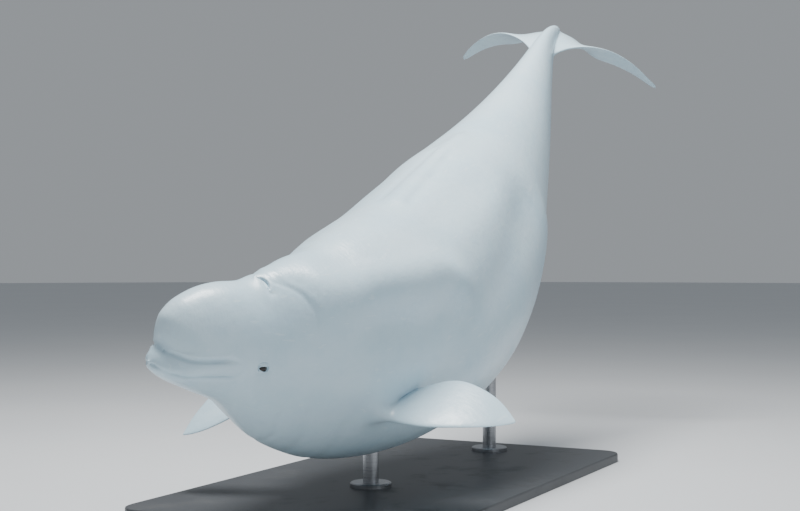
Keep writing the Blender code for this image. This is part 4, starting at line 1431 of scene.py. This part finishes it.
    def work_blowhole(self, made: bpy.types.Object) -> None:
        """Works the blowhole's crescent into the cage on top of the head, a little left of the middle.

        Args:
            made: The skin's object.
        """
        face = self.face
        step, turned = self.BLOWHOLE_STEP
        mid = self.form.on_skin(face.blowhole_y, face.blowhole_angle)
        ahead = self.form.on_skin(face.blowhole_y - step, face.blowhole_angle) - mid
        aside = self.form.on_skin(face.blowhole_y, face.blowhole_angle + turned) - mid
        forward = ahead / np.linalg.norm(ahead)
        out = np.cross(aside, forward)
        out *= np.sign(out[2]) / np.linalg.norm(out)
        left = np.cross(forward, out)
        left *= np.sign(left[0])
        place = SkinPlace(mid, out, forward, left)
        rail = self.form.rails_at(self.form.number_at(face.blowhole_y, face.blowhole_angle))
        wide_half, tall_half, tilt = rail[3], rail[1] - rail[4], math.radians(face.blowhole_angle)
        head_radius = math.hypot(wide_half * math.cos(tilt), tall_half * math.sin(tilt)) ** 3 \
            / (wide_half * tall_half)

        def loop(long: float, wide: float, curve: float, front: float, rear: float,
                 shift: float = 0.0) -> Callable[[float], Array]:
            """A crescent loop: its half sizes, its bend, the heights of its two lips and its shift ahead."""
            def at(turn: float) -> Array:
                """The loop's point at an angle."""
                across = wide * math.sin(turn)
                ahead_by = long * math.cos(turn) + curve * (across / wide) ** 2 + shift
                height = front if math.cos(turn) > 0 else rear
                height *= abs(math.cos(turn))
                sag = -0.5 * across * across / head_radius
                return mid + forward * ahead_by + left * across + out * (height + sag)
            return at

        self.work_loops(made, self.blowhole_patch, place, (
            loop(0.028, 0.052, 0.012, -0.0015, 0.0020, -0.002),
            loop(0.016, 0.044, 0.015, -0.0030, 0.0030, -0.002),
            loop(0.0080, 0.037, 0.015, -0.0045, 0.0006),
            loop(0.0050, 0.033, 0.014, -0.0085, -0.0060),
            loop(0.0038, 0.030, 0.013, -0.0130, -0.0130)))

    def fillet(self, made: bpy.types.Object) -> None:
        """Rounds the hollow corners where the fins leave the body, and smooths the beak's tip.

        Args:
            made: The skin's object.
        """
        points = Bench.points(made)
        edges = Bench.edges(made)
        first, second = edges.T
        count = np.bincount(edges.ravel(), minlength=len(points))[:, None]
        x, y = np.abs(points[:, 0]), points[:, 1]
        root_x, root_width = self.FLUKE_ROOT
        fluke = np.exp(-(((x - root_x) / root_width) ** 2)) * smoothstep(*self.FLUKE_ROOT_START, y)
        fluke *= 1 - smoothstep(*self.FLUKE_ROOT_END, y)
        from_root = np.stack([x, y, points[:, 2]], -1) - np.array(FLIPPER.root)
        flipper = np.exp(-((np.linalg.norm(from_root, axis=1) / self.FLIPPER_REACH) ** 4))
        flipper *= x > self.FLIPPER_LEAST_X
        beak = 1 - smoothstep(*self.BEAK_TIP, y)
        weight = np.clip(fluke + flipper + beak, 0, 1)[:, None] * self.FILLET_PULL
        moving = (weight[first, 0] > self.FILLET_LEAST) | (weight[second, 0] > self.FILLET_LEAST)
        first, second = first[moving], second[moving]
        for _ in range(self.fillet_passes):
            total = np.stack([np.bincount(first, points[second, i], len(points))
                              + np.bincount(second, points[first, i], len(points)) for i in range(3)], -1)
            points += np.where(weight > self.FILLET_LEAST, (total / count - points) * weight, 0.0)
        Bench.set_points(made, points)

    def carve(self, made: bpy.types.Object) -> None:
        """Works the fine creases into the smoothed skin and notes where it is hollow, which the skin's
        material darkens with painted shade.

        Args:
            made: The skin's object.
        """
        points, normals = Bench.points(made), Bench.normals(made)
        lift = np.zeros(len(points))
        for crease in CREASES:
            for side in crease.sides:
                line = np.array([self.form.on_skin(y, side.value * angle) for y, angle in crease.path])
                near = self.distance(points, self.finer(line))
                lift += crease.height * np.exp(-((near / crease.width) ** 2))
        for side in Side:
            for line, depth, width in self.mouth_grooves(side):
                end = line[:, 1].max()
                held = 1 - smoothstep(end - self.GROOVE_FADE, end, points[:, 1])
                lift -= depth * held * np.exp(-((self.distance(points, line) / width) ** 2))
            ear = self.form.side_point(self.face.ear_y, self.face.ear_z) * side.mirror
            near = np.linalg.norm(points - ear, axis=1)
            (rim, rim_width), (pit, pit_width) = self.EAR_RIM, self.EAR_PIT
            lift += rim * np.exp(-((near / rim_width) ** 2)) - pit * np.exp(-((near / pit_width) ** 2))
            lift += self.lid_folds(points, SkinPlace.of_eye(self.form, self.face, side))
        Bench.set_points(made, points + normals * lift[:, None])
        Bench.attribute(made, "whale_place", points)
        # Painted shade: the hollowness darkens the skin's colour in its creases and hollows.
        Bench.attribute(made, "hollow", self.hollows(made, points))

    def lid_folds(self, points: Array, eye: SkinPlace) -> Array:
        """The soft folds over and under an eye.

        Args:
            points: The skin's points.
            eye: The eye's place.

        Returns:
            How far the folds lift each point.
        """
        offset = points - eye.point
        along, rise = offset @ eye.forward, offset @ eye.up
        near = np.linalg.norm(offset, axis=1) < self.LID_REACH
        lift = np.zeros(len(points))
        for half_width, half_height, depth, way in self.LID_FOLDS:
            ring = np.hypot(along / half_width, rise / half_height)
            shown = smoothstep(-0.2, 0.5, way * rise / half_height)
            lift -= depth * np.exp(-(((ring - 1) / self.LID_WIDTH) ** 2)) * shown
        return lift * near

    def mouth_grooves(self, side: Side) -> list[tuple[Array, float, float]]:
        """The fine grooves of the mouth and of the crease over the lip: path, depth and width of each.

        Args:
            side: The whale's left or right.

        Returns:
            The grooves.
        """
        grooves = []
        for line_z, last, (first, depth, width) in (
                (self.face.mouth_z, self.face.mouth_end, self.MOUTH_GROOVE),
                (self.face.crease_z, self.face.crease_end, self.CREASE_GROOVE)):
            path = [self.form.point(number, self.form.angle_at(line_z, number, *self.form.HEAD_ANGLES))
                    for number in np.linspace(*self.GROOVE_STATIONS)]
            path = np.array([point for point in path if first <= point[1] <= last])
            grooves.append((path * side.mirror, depth, width))
        return grooves

    @classmethod
    def finer(cls, line: Array) -> Array:
        """A path with more points, on a smooth curve through its own.

        Args:
            line: The path.

        Returns:
            The finer path.
        """
        places = np.arange(len(line))
        at = np.linspace(0, len(line) - 1, cls.PATH_STEPS * (len(line) - 1) + 1)
        return np.stack([monotone(places, line[:, i], at) for i in range(3)], -1)

    @classmethod
    def distance(cls, points: Array, line: Array) -> Array:
        """Distance of each point from a path.

        Args:
            points: The points.
            line: The path.

        Returns:
            The distances.
        """
        nearest = np.full(len(points), BodyForm.FAR)
        low, high = line.min(0) - cls.PATH_REACH, line.max(0) + cls.PATH_REACH
        close = np.all((points > low) & (points < high), axis=1)
        here = points[close]
        best = nearest[close]
        for start, end in zip(line[:-1], line[1:]):
            run = end - start
            t = np.clip((here - start) @ run / max(run @ run, 1e-12), 0, 1)
            best = np.minimum(best, np.linalg.norm(here - start - t[:, None] * run, axis=1))
        nearest[close] = best
        return nearest

    def hollows(self, made: bpy.types.Object, points: Array) -> Array:
        """How sharply the skin is hollow at each point, from 0 to 1: mouth, creases, lids and blowhole, where
        the skin's material lays painted shade.

        Args:
            made: The skin's object.
            points: The straight skin's points.

        Returns:
            The hollowness.
        """
        first, second = Bench.edges(made).T
        normals = Bench.normals(made)
        apart = points[second] - points[first]
        length = np.linalg.norm(apart, axis=1) + 1e-9
        bend = np.einsum("ij,ij->i", normals[second] - normals[first], apart) / length**2
        total, count = np.zeros(len(points)), np.zeros(len(points))
        for ends in (first, second):
            np.add.at(total, ends, bend)
            np.add.at(count, ends, 1)
        curve = -total / np.maximum(count, 1)
        return smoothstep(*self.HOLLOW_CURVES, curve) * (1 - smoothstep(*self.HOLLOW_END, points[:, 1]))

    def build(self) -> bpy.types.Object:
        """Builds, shapes, smooths, carves and poses the skin."""
        made = self.block_out()
        self.shape(made)
        for side in Side:
            self.work_eye(made, side)
        self.work_blowhole(made)
        with Bench.editing(made, "FACE"):
            bpy.ops.mesh.select_all(action="SELECT")
            bpy.ops.mesh.normals_make_consistent(inside=False)
        Bench.apply(made, "SUBSURF", levels=self.smoothing, render_levels=self.smoothing)
        self.fillet(made)
        self.carve(made)
        Bench.set_points(made, self.spine.place(Bench.points(made)))
        Bench.dress(made, SkinFinish().material())
        made.data.polygons.foreach_set("material_index", np.zeros(len(made.data.polygons), int))
        return made


@dataclass
class Eyes:
    """The two eyeballs."""

    form: BodyForm
    spine: Spine
    face: Face
    segments: int = 64
    rings: int = 32
    cornea_share: float = 0.72
    cornea_lift: float = 0.0005
    cornea_reach: float = 0.008

    def build(self, side: Side) -> bpy.types.Object:
        """Builds one eyeball with its cornea's slight bulge.

        Args:
            side: The whale's left or right.

        Returns:
            The eyeball.
        """
        place = SkinPlace.of_eye(self.form, self.face, side)
        centre = self.spine.place(place.centre(self.face))
        out = Vector(self.spine.turn(place.point, place.out)).normalized()
        Bench.clear()
        bpy.ops.mesh.primitive_uv_sphere_add(segments=self.segments, ring_count=self.rings,
                                             radius=self.face.eye_radius)
        made = Bench.named(f"whale_eye_{side.name.lower()}")
        edge_of_cornea = self.cornea_share * self.face.eye_radius
        with Bench.editing(made, "FACE"):
            Bench.pick(made, "faces", lambda part: part.calc_center_median().z > edge_of_cornea)
            bpy.ops.transform.translate(
                value=(0, 0, self.cornea_lift), use_proportional_edit=True,
                proportional_size=self.cornea_reach, proportional_edit_falloff="SMOOTH")
        points = Bench.points(made)
        Bench.attribute(made, "from_pupil", np.hypot(points[:, 0], points[:, 1]) / self.face.eye_radius)
        turn = out.to_track_quat("Z", "Y").to_matrix().to_4x4()
        made.data.transform(Matrix.Translation(Vector(centre)) @ turn)
        Bench.dress(made, EyeFinish().material())
        return made


@dataclass(frozen=True)
class SoftLight:
    """A round light: its place is right, forward and up of the whale's middle, as the camera sees them."""

    name: str
    place: tuple[float, float, float]
    size: float
    power: float
    colour: tuple[float, float, float]


@dataclass
class Studio:
    """The floor, the light and the photo's camera."""

    spine: Spine
    heading: float = 27.0
    lens: float = 61.65
    head_y: float = 0.3474
    head_from_camera: tuple[float, float, float] = (-0.58, 4.84, -0.29)
    sensor_width: float = 36.0
    view_end: float = 200.0
    floor_radius: float = 45.0
    floor_sides: int = 96
    aim: tuple[float, float, float] = (0.0, 0.0, 1.1)
    lights: tuple[SoftLight, ...] = (
        SoftLight("key_light", (-0.5, -0.9, 4.9), 2.6, 640.0, (1.0, 0.99, 0.97)),
        SoftLight("fill_light", (3.5, -4.5, 1.2), 4.0, 36.0, (0.90, 0.95, 1.0)))
    air: Colour = (0.60, 0.64, 0.68, 1.0)
    air_strength: float = 0.52

    def turn(self) -> Matrix:
        """The turn from the camera's own directions to the frame's."""
        return Matrix.Rotation(math.radians(self.heading), 3, "Z")

    def camera(self) -> None:
        """Places the level camera by where it sees the head: right, forward and up of it."""
        turn = self.turn()
        head = Vector(self.spine.place(np.array([0.0, self.head_y, 0.0])))
        Bench.clear()
        bpy.ops.object.camera_add(location=head - turn @ Vector(self.head_from_camera),
                                  rotation=(math.pi / 2, 0, math.radians(self.heading)))
        made = bpy.context.object
        made.name = "photo_camera"
        made.data.lens = self.lens
        made.data.sensor_width = self.sensor_width
        made.data.clip_end = self.view_end
        bpy.context.scene.camera = made

    def floor(self) -> None:
        """A wide round floor."""
        Bench.clear()
        bpy.ops.mesh.primitive_circle_add(vertices=self.floor_sides, radius=self.floor_radius,
                                          fill_type="NGON")
        made = Bench.named("floor")
        made.data.materials.append(FloorFinish().material())

    def light(self, wanted: SoftLight) -> None:
        """Adds one soft light aimed at the whale's middle.

        Args:
            wanted: The light's name, place, width, power in watts and colour.
        """
        aim = Vector(self.aim)
        spot = aim + self.turn() @ Vector(wanted.place)
        Bench.clear()
        bpy.ops.object.light_add(type="AREA", location=spot)
        made = bpy.context.object
        made.name = wanted.name
        made.rotation_euler = (aim - spot).to_track_quat("-Z", "Y").to_euler()
        made.data.shape = "DISK"
        made.data.size = wanted.size
        made.data.energy = wanted.power
        made.data.color = wanted.colour

    def build(self) -> None:
        """Builds the studio."""
        self.camera()
        self.floor()
        for wanted in self.lights:
            self.light(wanted)
        world = bpy.data.worlds.new("studio")
        world.use_nodes = True
        backdrop = world.node_tree.nodes["Background"]
        backdrop.inputs["Color"].default_value = self.air
        backdrop.inputs["Strength"].default_value = self.air_strength
        bpy.context.scene.world = world


def report(piece: bpy.types.Object) -> None:
    """Logs a piece's name and its number of faces."""
    LOG.info("%s: %d faces", piece.name, len(piece.data.polygons))


def main() -> None:
    """Builds every piece in order."""
    logging.basicConfig(level=logging.INFO, format="%(name)s %(message)s")
    face = Face()
    form = BodyForm(STATIONS, FOLDS)
    spine = Spine(BENDS)
    left_eye = SkinPlace.of_eye(form, face, Side.LEFT)
    spine.settle(left_eye.centre(face), "eye_left")
    skin = WhaleSkin(form, spine, face).build()
    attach(skin, "root")
    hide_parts(*WHALE_NODES)
    report(skin)
    eyes = Eyes(form, spine, face)
    for side in Side:
        eye = eyes.build(side)
        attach(eye, "root")
        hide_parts(f"eye_{side.name.lower()}")
        report(eye)
    for node, finish in (("stand_base", BaseFinish()), ("stand_rod_front", SteelFinish()),
                         ("stand_rod_rear", SteelFinish())):
        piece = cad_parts[node]
        piece.data.materials.clear()
        piece.data.materials.append(finish.material())
        report(piece)
    Studio(spine).build()


if __name__ == "__main__":
    main()
